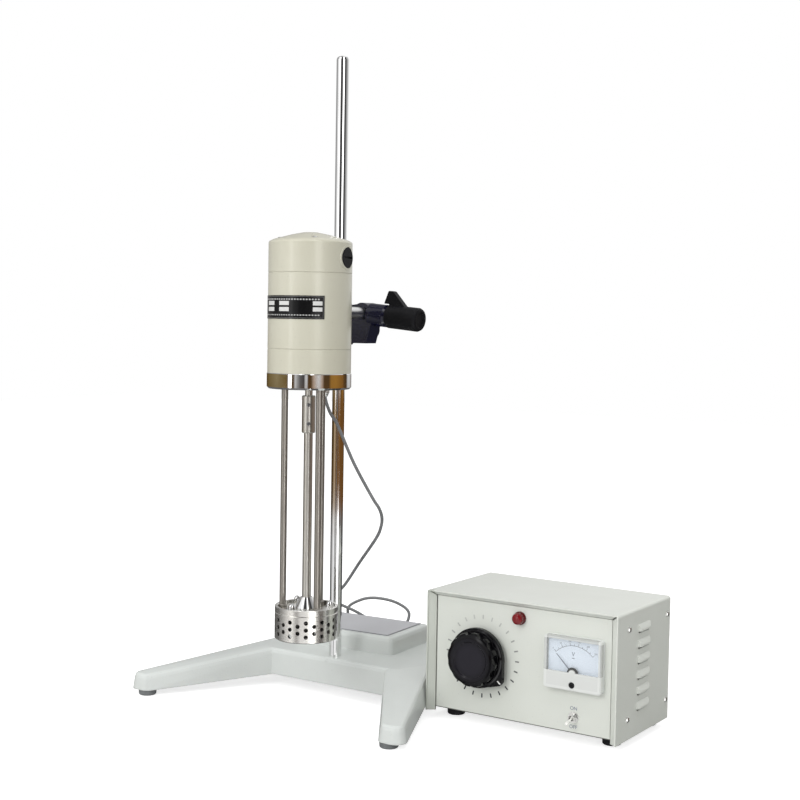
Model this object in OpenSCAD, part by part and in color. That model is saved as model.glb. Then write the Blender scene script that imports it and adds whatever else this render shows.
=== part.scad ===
// Laboratory shear homogenizer: cast stand, motor head that lifts on a column,
// perforated working head on three rods, and a bench speed controller on a cord.
// Millimetres, +Z up, the front faces -Y. Stand sizes are counted from the column's axis.

/* [Stand] */
// Height of the column's tip above the bench
column_top = 719; // [680:1:760]
// Column diameter
column_d = 14; // [13:0.5:16]
// Half the distance between the two front feet
foot_half = 165; // [155:1:180]
// How far the front feet stand ahead of the column
foot_front = 132; // [120:1:140]
// Top of the casting above the bench
base_top = 43; // [41:1:46]
// Height of the raised pad behind the column
plinth_h = 20; // [14:1:24]

/* [Clamp] */
// Height of the motor bar above the bench
bar_z = 433; // [384:1:564]
// Sideways distance from the column to the motor bar
bar_offset = 36; // [34:1:42]
// Distance from the column forward to the motor's axis
motor_reach = 102; // [96:1:120]
// Length of the plastic grip on each clamp screw
grip_l = 41; // [40:1:60]

/* [Motor] */
// Outside diameter of the motor housing
motor_d = 88; // [86:1:94]
// Height of the crown over the edge of the top cover
crown_h = 10; // [6:1:14]
// Direction of the brush caps, turned from the front towards +X
brush_turn = 98; // [80:1:110]
// Laminations: slots round the armature
armature_slots = 12; // [8:2:16]

/* [Working head] */
// Outside diameter of the perforated stator
stator_d = 67; // [64:1:72]
// Columns of holes round the stator
hole_columns = 24; // [16:4:24]
// Diameter of a stator hole
hole_d = 4.5; // [3.5:0.1:5]
// Diameter of the three support rods
rod_d = 7; // [6:0.5:8]
// Diameter of the working shaft
shaft_d = 9.5; // [8:0.5:10]
// Slots cut in the rim of the rotor
rotor_slots = 6; // [4:1:8]

/* [Controller] */
// Width of the controller's cover
box_w = 223; // [215:1:240]
// Depth of the cover
box_d = 130; // [126:1:150]
// Height of the cover above its feet
box_h = 131; // [128:1:145]
// How far the panel sits back behind the cover's front edge
panel_back = 6; // [5:1:10]
// Distance from the column to the cover's left wall
box_x = 137; // [137:1:200]
// Flutes round the speed knob
knob_flutes = 12; // [8:1:16]
// Direction of the knob's nose, seen from the front
knob_turn = -38; // [-60:1:60]
// Louvres pressed into each side wall
louvre_count = 6; // [4:1:6]

/* [Hidden] */
$fn = 96;

// Stand
wall = 6;
tip_r = 11.5;
toe_out = 7.5;
tip_top = 24;
tip_under = 6;
root_under = 13;
base_rear = 140;
rear_foot = [60, 120];
plinth_top = base_top + plinth_h;
column_r = column_d / 2;

// Clamp and motor: heights below are drawn for a bar at 433 and move with it
lift = bar_z - 433;
bar_r = 7;
clamp_low = 415;
screw_lean = 5;
motor_r = motor_d / 2;
motor_in = motor_r - 4;
seam_low = 394.8;
seam_high = 474;
flange_low = 353;
flange_top = 369.5;
brush_z = 490;
screw_seat = 506.5 + crown_h * 0.27;
shaft_r = shaft_d / 2;

// Working head
stator_r = stator_d / 2;
stator_in = stator_r - 3;
stator_low = 87.5;
stator_seam = 115.7;
stator_top = 122.5;
cover_floor = 118.7;
rod_circle = stator_r - 8.2;
rod_turns = [-57, 63, 183];
rod_r = rod_d / 2;
coupling_low = 306;
coupling_top = 345.5;

// Controller: sizes from its left front corner
box_y = -21;
box_foot = 8;
sheet = 1.5;
box_top = box_foot + box_h;
floor_low = box_foot + 4;
frame_w = 8.4;
frame_h = 5.6;
panel_left = frame_w + 1.5;
panel_right = frame_w + 0.5;
panel_top = box_top - frame_h - 0.4;
foot_x = [19, box_w - 19];
foot_y = [33, box_d - 10];
knob_at = [65, 74.8];
lamp_at = [110.2, 121.2];
meter_at = [174.8, 84];
meter_size = [64, 54];
pivot_z = 73;
zero_z = 62.8;
toggle_at = [173.6, 28.2];
toggle_tilt = -15;
screw_z = [29.5, 121];
screw_y = [26.5, 122];
fuse_at = [40, 45];
gland_x = [95, 185];
gland_z = 30;
louvre_h = 3;

// The part stands with the middle of its footprint on the origin
mid_x = (box_x + box_w + louvre_h - foot_half - toe_out - tip_r) / 2;
mid_y = (base_rear - motor_reach - motor_r - 0.5) / 2;

// Route of the motor cord, counted from the column
cord_r = 1.6;
cord_gland = [30, -66];
cord_route = [
  [30, -66, 345.5], [30.5, -65.6, 336], [33.4, -62, 324], [38.2, -55, 311.8], [45.2, -35, 269.2],
  [57.2, -13, 230.8], [61.1, -4, 217.1], [59.4, 4, 205.3], [52.3, 12, 193], [39.9, 21, 178.7],
  [2, 43, 144.1], [-44, 76, 106],
  [-80, 100, 84], [-88, 122, 73],
  [-68, 140, 60], [-44, 150, 44], [-32, 166, 26], [-44, 184, 13], [-72, 188, 14], [-97, 174, 34],
  [-92, 152, 60], [-74, 155, 73], [-54, 160, 77], [-28, 165, 74], [-9, 166, 64], [-8, 158, 48],
  [-16, 150, 28], [-2, 150, 9], [28, 158, 2], [100, 172, 2], [160, 176, 2], [205, 172, 4],
  [226, 158, 16], [231, 141, 28], [231, 131, 30], [231, 119, 30]
];

casting_grey = [0.76, 0.78, 0.77];
motor_beige = [0.78, 0.77, 0.70];
navy = [0.10, 0.10, 0.16];
black = [0.12, 0.12, 0.13];
chrome = [0.80, 0.80, 0.80];
steel = [0.68, 0.67, 0.65];
iron = [0.45, 0.45, 0.46];
copper = [0.72, 0.42, 0.22];
brass = [0.78, 0.65, 0.35];
panel_grey = [0.82, 0.83, 0.81];
rubber = [0.20, 0.21, 0.22];

// Frames of the assembly
module stand_frame() translate([-mid_x, -mid_y, 0]) children();
module head_frame() stand_frame() translate([0, 0, lift]) children();
module motor_frame() head_frame() translate([bar_offset, -motor_reach, 0]) children();
module box_frame() stand_frame() translate([box_x, box_y, 0]) children();

// Places a piece on the controller's panel, its axis pointing out of the panel
module on_panel(at, y) translate([at[0], y, at[1]]) rotate([90, 0, 0]) children();

// Turns a piece round the motor's axis, from the front towards +X
module turned(a) rotate([0, 0, a]) children();

// A flat rounded plate lying in XY, centred
module rounded_plate(w, d, h, r) {
  linear_extrude(height = h) {
    square([w - 2 * r, d], center = true);
    square([w, d - 2 * r], center = true);
    for (sx = [-1, 1], sy = [-1, 1])
      translate([sx * (w / 2 - r), sy * (d / 2 - r)]) circle(r);
  }
}

// Stand

// A drafted corner of the casting with a rounded shoulder; hulls of these make its walls
module post(x, y, low, top, r) {
  translate([x, y, low]) {
    cylinder(h = top - low - 5, r1 = r, r2 = r - 1.8, $fn = 32);
    translate([0, 0, top - low - 5]) cylinder(h = 3.4, r1 = r - 1.8, r2 = r - 2.8, $fn = 32);
    translate([0, 0, top - low - 1.6]) cylinder(h = 1.6, r1 = r - 2.8, r2 = r - 4.6, $fn = 32);
  }
}

// Corner of the hollow under the casting
module core_post(x, y, low, top, r) {
  translate([x, y, low - 4])
    cylinder(h = top - low - wall + 4, r1 = r - wall + 0.6, r2 = r - wall - 1.4, $fn = 32);
}

module leg(side) {
  hull() {
    post(side * foot_half, 1 - foot_front, tip_under, tip_top, tip_r);
    post(side * (foot_half + toe_out), 1 - foot_front, tip_under, tip_top, tip_r);
    post(side * 86, -3, root_under, base_top, 14.5);
    post(side * 102, 28, root_under, base_top, 12);
  }
}

module leg_core(side) {
  hull() {
    core_post(side * foot_half, 1 - foot_front, tip_under, tip_top, tip_r);
    core_post(side * (foot_half + toe_out), 1 - foot_front, tip_under, tip_top, tip_r);
    core_post(side * 86, -3, root_under, base_top, 14.5);
    core_post(side * 102, 28, root_under, base_top, 12);
  }
}

module deck() {
  hull() {
    for (side = [-1, 1]) {
      post(side * 86, -3, root_under, base_top, 14.5);
      post(side * 102, 28, root_under, base_top, 12);
      post(side * 78, base_rear - 10, root_under, base_top, 10);
    }
  }
}

module deck_core() {
  hull() {
    for (side = [-1, 1]) {
      core_post(side * 86, -3, root_under, base_top, 14.5);
      core_post(side * 102, 28, root_under, base_top, 12);
      core_post(side * 78, base_rear - 10, root_under, base_top, 10);
    }
  }
}

// Raised pad behind the column, longer to the left and turned a little
module plinth() {
  hull() {
    post(47.2, 42.2, base_top - 1, plinth_top, 6.5);
    post(-76, 34.5, base_top - 1, plinth_top, 6.5);
    post(42, 122.5, base_top - 1, plinth_top, 6.5);
    post(-80, 115, base_top - 1, plinth_top, 6.5);
  }
}

module base_casting() stand_frame() color(casting_grey) difference() {
  union() {
    difference() {
      union() {
        leg(1);
        leg(-1);
        deck();
        plinth();
      }
      leg_core(1);
      leg_core(-1);
      deck_core();
      translate([-66, 48, root_under]) cube([99, 60, plinth_top - root_under - wall]);
    }
    translate([0, 0, 24]) cylinder(h = base_top - 27, r = 16);
    for (side = [-1, 1]) {
      translate([side * foot_half, -foot_front, tip_under]) cylinder(h = tip_top - tip_under - 3, r = 8);
      translate([side * rear_foot[0], rear_foot[1], tip_under])
        cylinder(h = base_top - tip_under - 3, r = 10.5);
      translate([side * 46 - 2, -4, root_under + 5]) cube([4, base_rear, base_top - root_under - 8]);
    }
  }
  translate([0, 0, 30]) cylinder(h = base_top, r = column_r);
  cylinder(h = base_top, r = 5);
  for (side = [-1, 1]) {
    translate([side * foot_half, -foot_front, 0]) cylinder(h = 15, r = 2.5);
    translate([side * rear_foot[0], rear_foot[1], 0]) cylinder(h = 15, r = 2.5);
  }
}

// Rubber foot with its moulded-in stud
module foot(r, h, stud) {
  rotate_extrude() polygon([
    [0, 0], [r - 1.2, 0], [r - 0.4, 0.8], [r, h - 1.5], [r - 0.6, h], [2.5, h], [2.5, h + stud], [0, h + stud]
  ]);
}

module base_feet() stand_frame() color(rubber) {
  for (side = [-1, 1]) {
    translate([side * foot_half, -foot_front, 0]) foot(10, tip_under, 8);
    translate([side * rear_foot[0], rear_foot[1], 0]) foot(10, tip_under, 8);
  }
}

// Plate that nearly fills the top of the raised pad
module base_label() stand_frame() color([0.71, 0.71, 0.73])
  translate([0, 0, plinth_top]) linear_extrude(height = 0.8)
    polygon([[-73, 37.5], [42, 44.5], [37.5, 122], [-77.5, 115]]);

// Column with a shoulder on the casting, a threaded tail and a domed tip
module column() stand_frame() color(chrome) rotate_extrude() polygon([
  [0, 14.5], [4.2, 14.5], [5, 15.5], [5, 30], [column_r, 30], [column_r, column_top - 4],
  [column_r - 0.7, column_top - 1.9], [column_r - 2.2, column_top - 0.6], [column_r - 4.4, column_top],
  [0, column_top]
]);

module column_nut() stand_frame() color(steel) difference() {
  union() {
    translate([0, 0, 22]) cylinder(h = 2, r = 10.4);
    translate([0, 0, 15.5]) cylinder(h = 7, r = 9.8, $fn = 6);
  }
  cylinder(h = 40, r = 5);
}

// Clamp

// The bar's screw leans down a little towards its grip
module bar_screw_axis() translate([bar_offset, 0, 433]) rotate([0, 90 + screw_lean, 0]) children();

// Cross clamp: a sleeve on the column, an eye round the bar and a threaded nose for each screw
module boss_head() head_frame() color(navy) difference() {
  union() {
    translate([0, 0, 398]) cylinder(h = 3, r1 = 15, r2 = 17);
    translate([0, 0, 401]) cylinder(h = 37, r = 17);
    translate([0, 0, 438]) cylinder(h = 3, r1 = 17, r2 = 15);
    translate([0, 2, 0]) rotate([90, 0, 0]) linear_extrude(height = 20, center = true)
      polygon([
        [0, 400], [bar_offset + 6, 400], [bar_offset + 13, 424], [bar_offset + 13, 434],
        [bar_offset, 444], [0, 440]
      ]);
    translate([bar_offset, 2.75, 433]) rotate([90, 0, 0]) cylinder(h = 21.5, r = 12, center = true);
    bar_screw_axis() translate([0, 0, 8]) cylinder(h = 20.5, r = 12.3);
    bar_screw_axis() translate([0, 0, 28.5]) cylinder(h = 2.5, r1 = 12.3, r2 = 10.5);
    translate([0, 8, clamp_low]) rotate([-90, 0, 0]) cylinder(h = 12, r = 12);
    translate([0, 20, clamp_low]) rotate([-90, 0, 0]) cylinder(h = 2, r1 = 12, r2 = 10);
  }
  translate([0, 0, 390]) cylinder(h = 60, r = column_r + 0.3);
  translate([bar_offset, 0, 433]) rotate([90, 0, 0]) cylinder(h = 60, r = bar_r, center = true);
  bar_screw_axis() cylinder(h = 40, r = 4.3);
  translate([0, 0, clamp_low]) rotate([-90, 0, 0]) cylinder(h = 30, r = 4.3);
}

// Bar from the motor to the clamp, saddled on the housing and held by a stud through its wall
module support_bar() head_frame() color([0.80, 0.81, 0.80]) union() {
  difference() {
    translate([bar_offset, 25, 433]) rotate([90, 0, 0]) rotate_extrude() polygon([
      [0, 0], [bar_r - 1, 0], [bar_r, 1], [bar_r, motor_reach + 25 - motor_r - 6],
      [bar_r + 3, motor_reach + 25 - motor_r - 3], [bar_r + 3, motor_reach], [0, motor_reach]
    ]);
    translate([bar_offset, -motor_reach, 380]) cylinder(h = 100, r = motor_r);
  }
  translate([bar_offset, -motor_reach + motor_in, 433]) rotate([-90, 0, 0]) cylinder(h = 8, r = 4);
}

// Moulded grip with a wing on one side and a steel stud, along +Z from the clamp's nose
module clamp_grip(stud) {
  rotate_extrude() polygon([
    [0, 0], [11.8, 0], [12.8, 1], [13, grip_l - 3], [11.9, grip_l - 0.8], [10.1, grip_l],
    [8.4, grip_l], [7.8, grip_l - 1.4], [0, grip_l - 1.4]
  ]);
  rotate([90, 0, 0]) linear_extrude(height = 7, center = true)
    polygon([
      [0, 0.5], [13.6, 0.5], [13.6, -5.4], [14.4, -5.8], [27, -1.8], [28, -0.8], [28, 3.6], [27, 5.2],
      [12, 21.5], [0, 21.5]
    ]);
  translate([0, 0, -stud]) cylinder(h = stud + 1, r = 4);
}

module bar_clamp() head_frame() color(black)
  bar_screw_axis() translate([0, 0, 32]) rotate([0, 0, 180]) clamp_grip(24.5);

module column_clamp() head_frame() color(black)
  translate([0, 23, clamp_low]) rotate([-90, 0, 0]) rotate([0, 0, -78]) clamp_grip(15);

// Motor

// Top cover with its crown, bearing seat and a raised rim round each brush opening
module motor_cap() motor_frame() color(motor_beige) difference() {
  union() {
    rotate_extrude() polygon([
      [motor_in, seam_high], [motor_r - 0.5, seam_high], [motor_r, seam_high + 0.5], [motor_r, 505.5],
      [motor_r - 1, 507], [motor_r - 5, 507 + crown_h * 0.2], [motor_r - 24, 507 + crown_h * 0.72],
      [8, 507 + crown_h * 0.96], [0, 507 + crown_h], [0, 511.5], [6, 511.5], [6, 508], [11, 508], [11, 500],
      [15, 500], [15, 506], [motor_in - 4, 503.5], [motor_in, 500]
    ]);
    intersection() {
      for (a = [0, 180])
        turned(brush_turn + a) translate([0, -motor_in + 2, brush_z]) rotate([90, 0, 0])
          cylinder(h = 8, r = 13);
      difference() {
        cylinder(h = 600, r = motor_r + 0.8);
        cylinder(h = 600, r = motor_in);
      }
    }
  }
  turned(brush_turn) translate([0, 0, brush_z]) rotate([90, 0, 0]) cylinder(h = 120, r = 11, center = true);
  for (a = [45, 135, 225, 315]) turned(a) translate([0, 12 - motor_r, 500]) {
    cylinder(h = 20, r = 1.5);
    translate([0, 0, screw_seat - 500]) cylinder(h = 20, r = 3.3);
  }
}

module motor_body() motor_frame() color(motor_beige) difference() {
  rotate_extrude() polygon([
    [motor_in, seam_low], [motor_r - 0.5, seam_low], [motor_r, seam_low + 0.5],
    [motor_r, seam_high - 0.5], [motor_r - 0.5, seam_high], [motor_in, seam_high]
  ]);
  translate([0, motor_in - 2, 433]) rotate([-90, 0, 0]) cylinder(h = 8, r = 4);
}

// Lower cover with the web that carries the lower bearing
module motor_base() motor_frame() color(motor_beige) rotate_extrude() polygon([
  [7, flange_top], [motor_r, flange_top], [motor_r, seam_low - 0.5], [motor_r - 0.5, seam_low],
  [motor_in, seam_low], [motor_in, 375.5], [15, 375.5], [15, 383], [11, 383], [11, 376], [7, 376]
]);

// Plated flange that closes the motor and carries the three rods
module flange_ring() motor_frame() color(chrome) difference() {
  rotate_extrude() polygon([
    [7, flange_low + 2], [11, flange_low], [motor_r - 1.5, flange_low], [motor_r + 0.5, flange_low + 2],
    [motor_r + 0.5, flange_top - 0.6], [motor_r, flange_top], [7, flange_top]
  ]);
  for (a = rod_turns) turned(a) translate([0, -rod_circle, 340]) cylinder(h = 25, r = rod_r);
}

// Thin plate bent round the front of the housing, left bare
module nameplate() motor_frame() color(black) intersection() {
  difference() {
    translate([0, 0, 426]) cylinder(h = 24, r = motor_r + 0.5);
    translate([0, 0, 420]) cylinder(h = 36, r = motor_r);
  }
  translate([0, 0, 420]) linear_extrude(height = 36)
    polygon([[0, 0], [-80 * sin(57), -80 * cos(57)], [0, -100], [80 * sin(57), -80 * cos(57)]]);
}

// Slotted screws sunk into the crown
module cap_screws() motor_frame() color(steel)
  for (a = [45, 135, 225, 315]) turned(a) translate([0, 12 - motor_r, screw_seat]) difference() {
    union() {
      translate([0, 0, -5]) cylinder(h = 5.5, r = 1.5);
      rotate_extrude() polygon([[0, 0], [3, 0], [3, 1], [2.2, 1.8], [0, 2.2]]);
    }
    translate([-4, -0.4, 1.3]) cube([8, 0.8, 2]);
  }

// Slotted bakelite caps over the brushes
module brush_caps() motor_frame() color(black) for (a = [0, 180])
  turned(brush_turn + a) translate([0, -37, brush_z]) rotate([90, 0, 0]) difference() {
    rotate_extrude() polygon([
      [0, 0], [11, 0], [11, motor_r - 37], [10.2, motor_r - 36.2], [0, motor_r - 36.2]
    ]);
    translate([-9, -1.1, motor_r - 38]) cube([18, 2.2, 4]);
  }

module brush_holders() motor_frame() color(brass) for (a = [0, 180])
  turned(brush_turn + a) translate([0, -37, brush_z]) rotate([-90, 0, 0]) difference() {
    cylinder(h = 18, r = 7);
    translate([-2.6, -4.1, -1]) cube([5.2, 8.2, 20]);
  }

module carbon_brushes() motor_frame() color([0.2, 0.2, 0.2]) for (a = [0, 180])
  turned(brush_turn + a) translate([0, -33, brush_z]) rotate([-90, 0, 0]) difference() {
    translate([-2.6, -4.1, 0]) cube([5.2, 8.2, 19.8]);
    translate([0, -8, 33]) rotate([-90, 0, 0]) cylinder(h = 16, r = 13.4);
  }

module field_core() motor_frame() color(iron) translate([0, 0, 405]) linear_extrude(height = 50) {
  difference() {
    circle(motor_in);
    circle(motor_in - 4);
  }
  intersection() {
    difference() {
      circle(motor_in - 2);
      circle(24.3);
    }
    square([24, 2 * motor_in], center = true);
  }
}

module field_coils() motor_frame() color(copper) for (side = [-1, 1])
  translate([0, side * 28, 430]) rotate([90, 0, 0]) translate([0, 0, -2.5]) difference() {
    rounded_plate(36, 62, 5, 6);
    translate([-12.2, -25.2, -1]) cube([24.4, 50.4, 8]);
  }

module bearing(z) {
  translate([0, 0, z]) difference() {
    cylinder(h = 7, r = 11);
    translate([0, 0, -1]) cylinder(h = 9, r = 5.3);
    for (face = [-1, 6.4]) translate([0, 0, face]) difference() {
      cylinder(h = 1.6, r = 9.2);
      cylinder(h = 1.6, r = 6.8);
    }
  }
}

module motor_bearings() motor_frame() color(steel) {
  bearing(376);
  bearing(501);
}

module motor_shaft() motor_frame() color(steel) rotate_extrude() polygon([
  [0, 326.5], [4, 326.5], [4, 352], [5, 353], [5, 509], [4.4, 510], [0, 510]
]);

// Slotted laminations with the end turns of the winding
module armature() motor_frame() color(iron) difference() {
  union() {
    translate([0, 0, 405]) linear_extrude(height = 50) difference() {
      circle(23.5);
      for (i = [0 : armature_slots - 1]) rotate(i * 360 / armature_slots) translate([17, -1]) square([8, 2]);
    }
    rotate_extrude() polygon([
      [4, 398], [17, 398], [20, 400], [21, 405], [21, 455], [20, 460], [17, 463], [4, 463]
    ]);
  }
  translate([0, 0, 390]) cylinder(h = 80, r = 5);
}

module commutator() motor_frame() color(copper) translate([0, 0, 481]) difference() {
  linear_extrude(height = 17) difference() {
    circle(13);
    circle(5);
    for (i = [0 : 2 * armature_slots - 1])
      rotate(i * 180 / armature_slots) translate([12, -0.3]) square([2, 0.6]);
  }
  translate([0, 0, -1]) cylinder(h = 3, r = 7);
}

module cooling_fan() motor_frame() color([0.30, 0.32, 0.34]) translate([0, 0, 384.5]) difference() {
  union() {
    cylinder(h = 9, r = 9);
    cylinder(h = 1.5, r = 34);
    for (i = [0 : 8]) rotate(i * 40) translate([7, -0.8, 0]) cube([27, 1.6, 8]);
  }
  translate([0, 0, -1]) cylinder(h = 12, r = 5);
}

module cord_gland_nut() head_frame() color(black)
  translate([cord_gland[0], cord_gland[1], 343]) difference() {
    union() {
      cylinder(h = 4, r1 = 3.2, r2 = 4.6);
      translate([0, 0, 4]) cylinder(h = 6, r = 5.5, $fn = 6);
    }
    translate([0, 0, -1]) cylinder(h = 4.5, r = 2.1);
  }

// Motor cord: a round tube swept along its route with frames that don't twist
function unit(v) = v / norm(v);
function spline(a, b, c, d, t) =
  0.5 * (2 * b + (c - a) * t + (2 * a - 5 * b + 4 * c - d) * t * t + (3 * b - a - 3 * c + d) * t * t * t);
function route_at(p, i) = p[max(0, min(len(p) - 1, i))];
function dense(p, steps) = [
  for (i = [0 : len(p) - 2]) for (s = [0 : steps - 1])
    spline(route_at(p, i - 1), p[i], p[i + 1], route_at(p, i + 2), s / steps),
  p[len(p) - 1]
];
function tangents(p) = [for (i = [0 : len(p) - 1]) unit(route_at(p, i + 1) - route_at(p, i - 1))];
function square_to(n, t) = unit(n - (n * t) * t);
function normals(t) = [
  for (i = 0, n = square_to([1, 0, 0], t[0]); i < len(t);
    i = i + 1, n = i < len(t) ? square_to(n, t[i]) : n) n
];

module swept_tube(p, r, sides) {
  t = tangents(p);
  n = normals(t);
  count = len(p);
  points = [
    for (i = [0 : count - 1]) for (k = [0 : sides - 1])
      p[i] + r * (cos(k * 360 / sides) * n[i] + sin(k * 360 / sides) * cross(t[i], n[i]))
  ];
  walls = [
    for (i = [0 : count - 2]) for (k = [0 : sides - 1]) for (half = [0, 1])
      let (a = i * sides + k, b = i * sides + (k + 1) % sides)
        half == 0 ? [a, a + sides, b] : [b, a + sides, b + sides]
  ];
  ends = [
    for (k = [1 : sides - 2]) [0, k, k + 1],
    for (k = [1 : sides - 2]) let (a = (count - 1) * sides) [a, a + k + 1, a + k]
  ];
  polyhedron(points, concat(walls, ends));
}

module motor_cord() stand_frame() color([0.45, 0.46, 0.47]) swept_tube(dense(cord_route, 2), cord_r, 8);

// Working head

// Ground rods, screwed into the flange above and shouldered on the stator cover below
module support_rods() motor_frame() color(steel) for (a = rod_turns)
  turned(a) translate([0, -rod_circle, 0]) rotate_extrude() polygon([
    [0, stator_seam - 2], [2.5, stator_seam - 2], [2.5, cover_floor], [rod_r + 1.3, cover_floor],
    [rod_r + 1.3, cover_floor + 3.4], [rod_r, cover_floor + 4.6], [rod_r, 364.5], [rod_r - 0.5, 365], [0, 365]
  ]);

module coupling() motor_frame() color(steel) difference() {
  rotate_extrude() polygon([
    [0, coupling_low], [6.4, coupling_low], [7.2, coupling_low + 0.8], [7.2, coupling_top - 0.8],
    [6.4, coupling_top], [0, coupling_top]
  ]);
  translate([0, 0, coupling_low - 1]) cylinder(h = 21, r = shaft_r);
  translate([0, 0, coupling_low + 20]) cylinder(h = 30, r = 4);
  for (z = [316, 336]) turned(38) translate([0, 0, z]) rotate([90, 0, 0]) cylinder(h = 10, r = 2);
}

module coupling_screws() motor_frame() color(iron) for (z = [316, 336])
  turned(38) translate([0, z == 316 ? -shaft_r : -4, z]) rotate([90, 0, 0]) difference() {
    cylinder(h = 2.3, r = 2);
    translate([0, 0, 1]) cylinder(h = 3, r = 1, $fn = 6);
  }

module work_shaft() motor_frame() color(steel) rotate_extrude() polygon([
  [0, 85.5], [2.4, 85.5], [3, 86.1], [3, 93], [shaft_r, 93], [shaft_r, coupling_low + 20],
  [0, coupling_low + 20]
]);

// Dished cover: a rim outside, a spigot into the cup, and seats for rods, nuts and hub
module stator_cover() motor_frame() color(steel) difference() {
  rotate_extrude() polygon([
    [7, stator_seam - 3], [stator_in, stator_seam - 3], [stator_in, stator_seam],
    [stator_r - 0.5, stator_seam], [stator_r, stator_seam + 0.5],
    [stator_r, stator_top - 0.6], [stator_r - 0.6, stator_top],
    [stator_in + 0.4, stator_top], [stator_in, stator_top - 0.4], [stator_in, cover_floor], [7, cover_floor]
  ]);
  for (a = rod_turns) turned(a) translate([0, -rod_circle, stator_seam - 2]) cylinder(h = 10, r = 2.5);
  for (a = [0, 120, 240]) turned(a) translate([0, -rod_circle, stator_seam - 4]) cylinder(h = 10, r = 2);
}

// Perforated cup: columns of three and two holes by turns
module stator_cup() motor_frame() color(steel) difference() {
  rotate_extrude() polygon([
    [22, stator_low], [stator_r - 0.8, stator_low], [stator_r, stator_low + 0.8],
    [stator_r, stator_seam - 0.5], [stator_r - 0.5, stator_seam], [stator_in, stator_seam],
    [stator_in, stator_low + 2.5], [22, stator_low + 2.5]
  ]);
  for (i = [0 : hole_columns - 1]) {
    turned(7 + i * 360 / hole_columns) for (row = [0 : i % 2 == 0 ? 2 : 1])
      translate([0, 2 - stator_in, stator_low + 7.1 + row * 7.4 + (i % 2) * 3.7]) rotate([90, 0, 0])
        cylinder(h = 8, r = hole_d / 2);
  }
}

module shaft_hub() motor_frame() color(chrome) rotate_extrude() polygon([
  [shaft_r + 0.3, stator_seam - 3], [7, stator_seam - 3], [7, cover_floor], [12.5, cover_floor],
  [12.5, cover_floor + 1.5], [6.4, cover_floor + 12.5], [shaft_r + 0.3, cover_floor + 12.5]
]);

module cover_nuts() motor_frame() color(chrome) for (a = [0, 120, 240])
  turned(a) translate([0, -rod_circle, 0]) {
    translate([0, 0, stator_seam - 3]) cylinder(h = cover_floor - stator_seam + 4, r = 2);
    translate([0, 0, cover_floor]) cylinder(h = 4, r = 4.6, $fn = 6);
    translate([0, 0, cover_floor + 3.5]) cylinder(h = 2, r = 3.6);
    translate([0, 0, cover_floor + 5.5]) sphere(r = 3.6);
  }

// Rotor: a disc on a hub, its hanging rim cut by raked slots, close inside the cup
module rotor() motor_frame() color(steel) difference() {
  union() {
    translate([0, 0, 93]) cylinder(h = 17, r = 8.5);
    translate([0, 0, 105.5]) cylinder(h = 3, r = stator_in - 0.8);
    translate([0, 0, 92.5]) difference() {
      cylinder(h = 14, r = stator_in - 0.8);
      translate([0, 0, -1]) cylinder(h = 14, r = stator_in - 5);
    }
    for (i = [0 : rotor_slots - 1]) rotate(i * 360 / rotor_slots) translate([5, -2, 99]) cube([13, 4, 7]);
  }
  for (i = [0 : rotor_slots - 1]) rotate((i + 0.5) * 360 / rotor_slots)
    translate([stator_in - 3, 0, 90]) rotate([0, 0, 24]) translate([-6, -3, 0]) cube([16, 6, 12.5]);
  translate([0, 0, 80]) cylinder(h = 40, r = shaft_r);
}

module rotor_nut() motor_frame() color(steel) difference() {
  translate([0, 0, 87]) cylinder(h = 6, r = 6.4, $fn = 6);
  translate([0, 0, 80]) cylinder(h = 20, r = 3);
}

// Controller

module controller_tray() box_frame() color(casting_grey) difference() {
  translate([2 * sheet, panel_back + 2, floor_low + sheet])
    cube([box_w - 4 * sheet, box_d - panel_back - 2 - sheet, sheet]);
  for (x = foot_x, y = foot_y) translate([x, y, 0]) cylinder(h = 20, r = 2.5);
  for (i = [0 : 6]) translate([70 + i * 14, 60, 0]) cube([5, 36, 20]);
}

// One pressed louvre, open downwards, on a wall that faces +X: a rounded rise with drawn-in ends
module louvre_form(rise, half, lip) {
  intersection() {
    rotate([90, 0, 0]) linear_extrude(height = 2 * half, center = true) polygon([
      [-2, lip], [-2, rise + 1.6], [0, rise + 1.6], [rise * 0.45, rise], [rise * 0.8, rise * 0.25],
      [rise, -1], [rise, lip]
    ]);
    translate([0, 0, -10]) linear_extrude(height = 20) polygon([
      [-2, -half], [0, -half], [rise * 0.5, 0.7 - half], [rise * 0.85, 2 - half], [rise, 4 - half],
      [rise, half - 4], [rise * 0.85, half - 2], [rise * 0.5, half - 0.7], [0, half], [-2, half]
    ]);
  }
}

module louvre_bank(hollow) {
  for (i = [0 : louvre_count - 1])
    translate([box_w, 62.5, box_foot + 30 + i * 80 / (louvre_count - 1)])
      if (hollow) translate([0, 0, -1.2]) louvre_form(louvre_h - 1.1, 12.6, -4);
      else translate([0.2, 0, 0]) louvre_form(louvre_h - 0.2, 14, -3);
}

module both_sides() {
  children();
  translate([box_w, 0, 0]) mirror([1, 0, 0]) children();
}

// Outline of the folded cover, seen from the front
module cover_outline() {
  square([box_w, box_h - 3]);
  translate([3, 0]) square([box_w - 6, box_h]);
  for (x = [3, box_w - 3]) translate([x, box_h - 3]) circle(3);
}

// Sloping edge turned in from one wall to the panel: (in, back) are its inner edge
module sloped_edge(in, back) polygon([[0, 0], [in, back], [in, back + 1.8], [sheet, 3], [0, 3]]);

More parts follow.
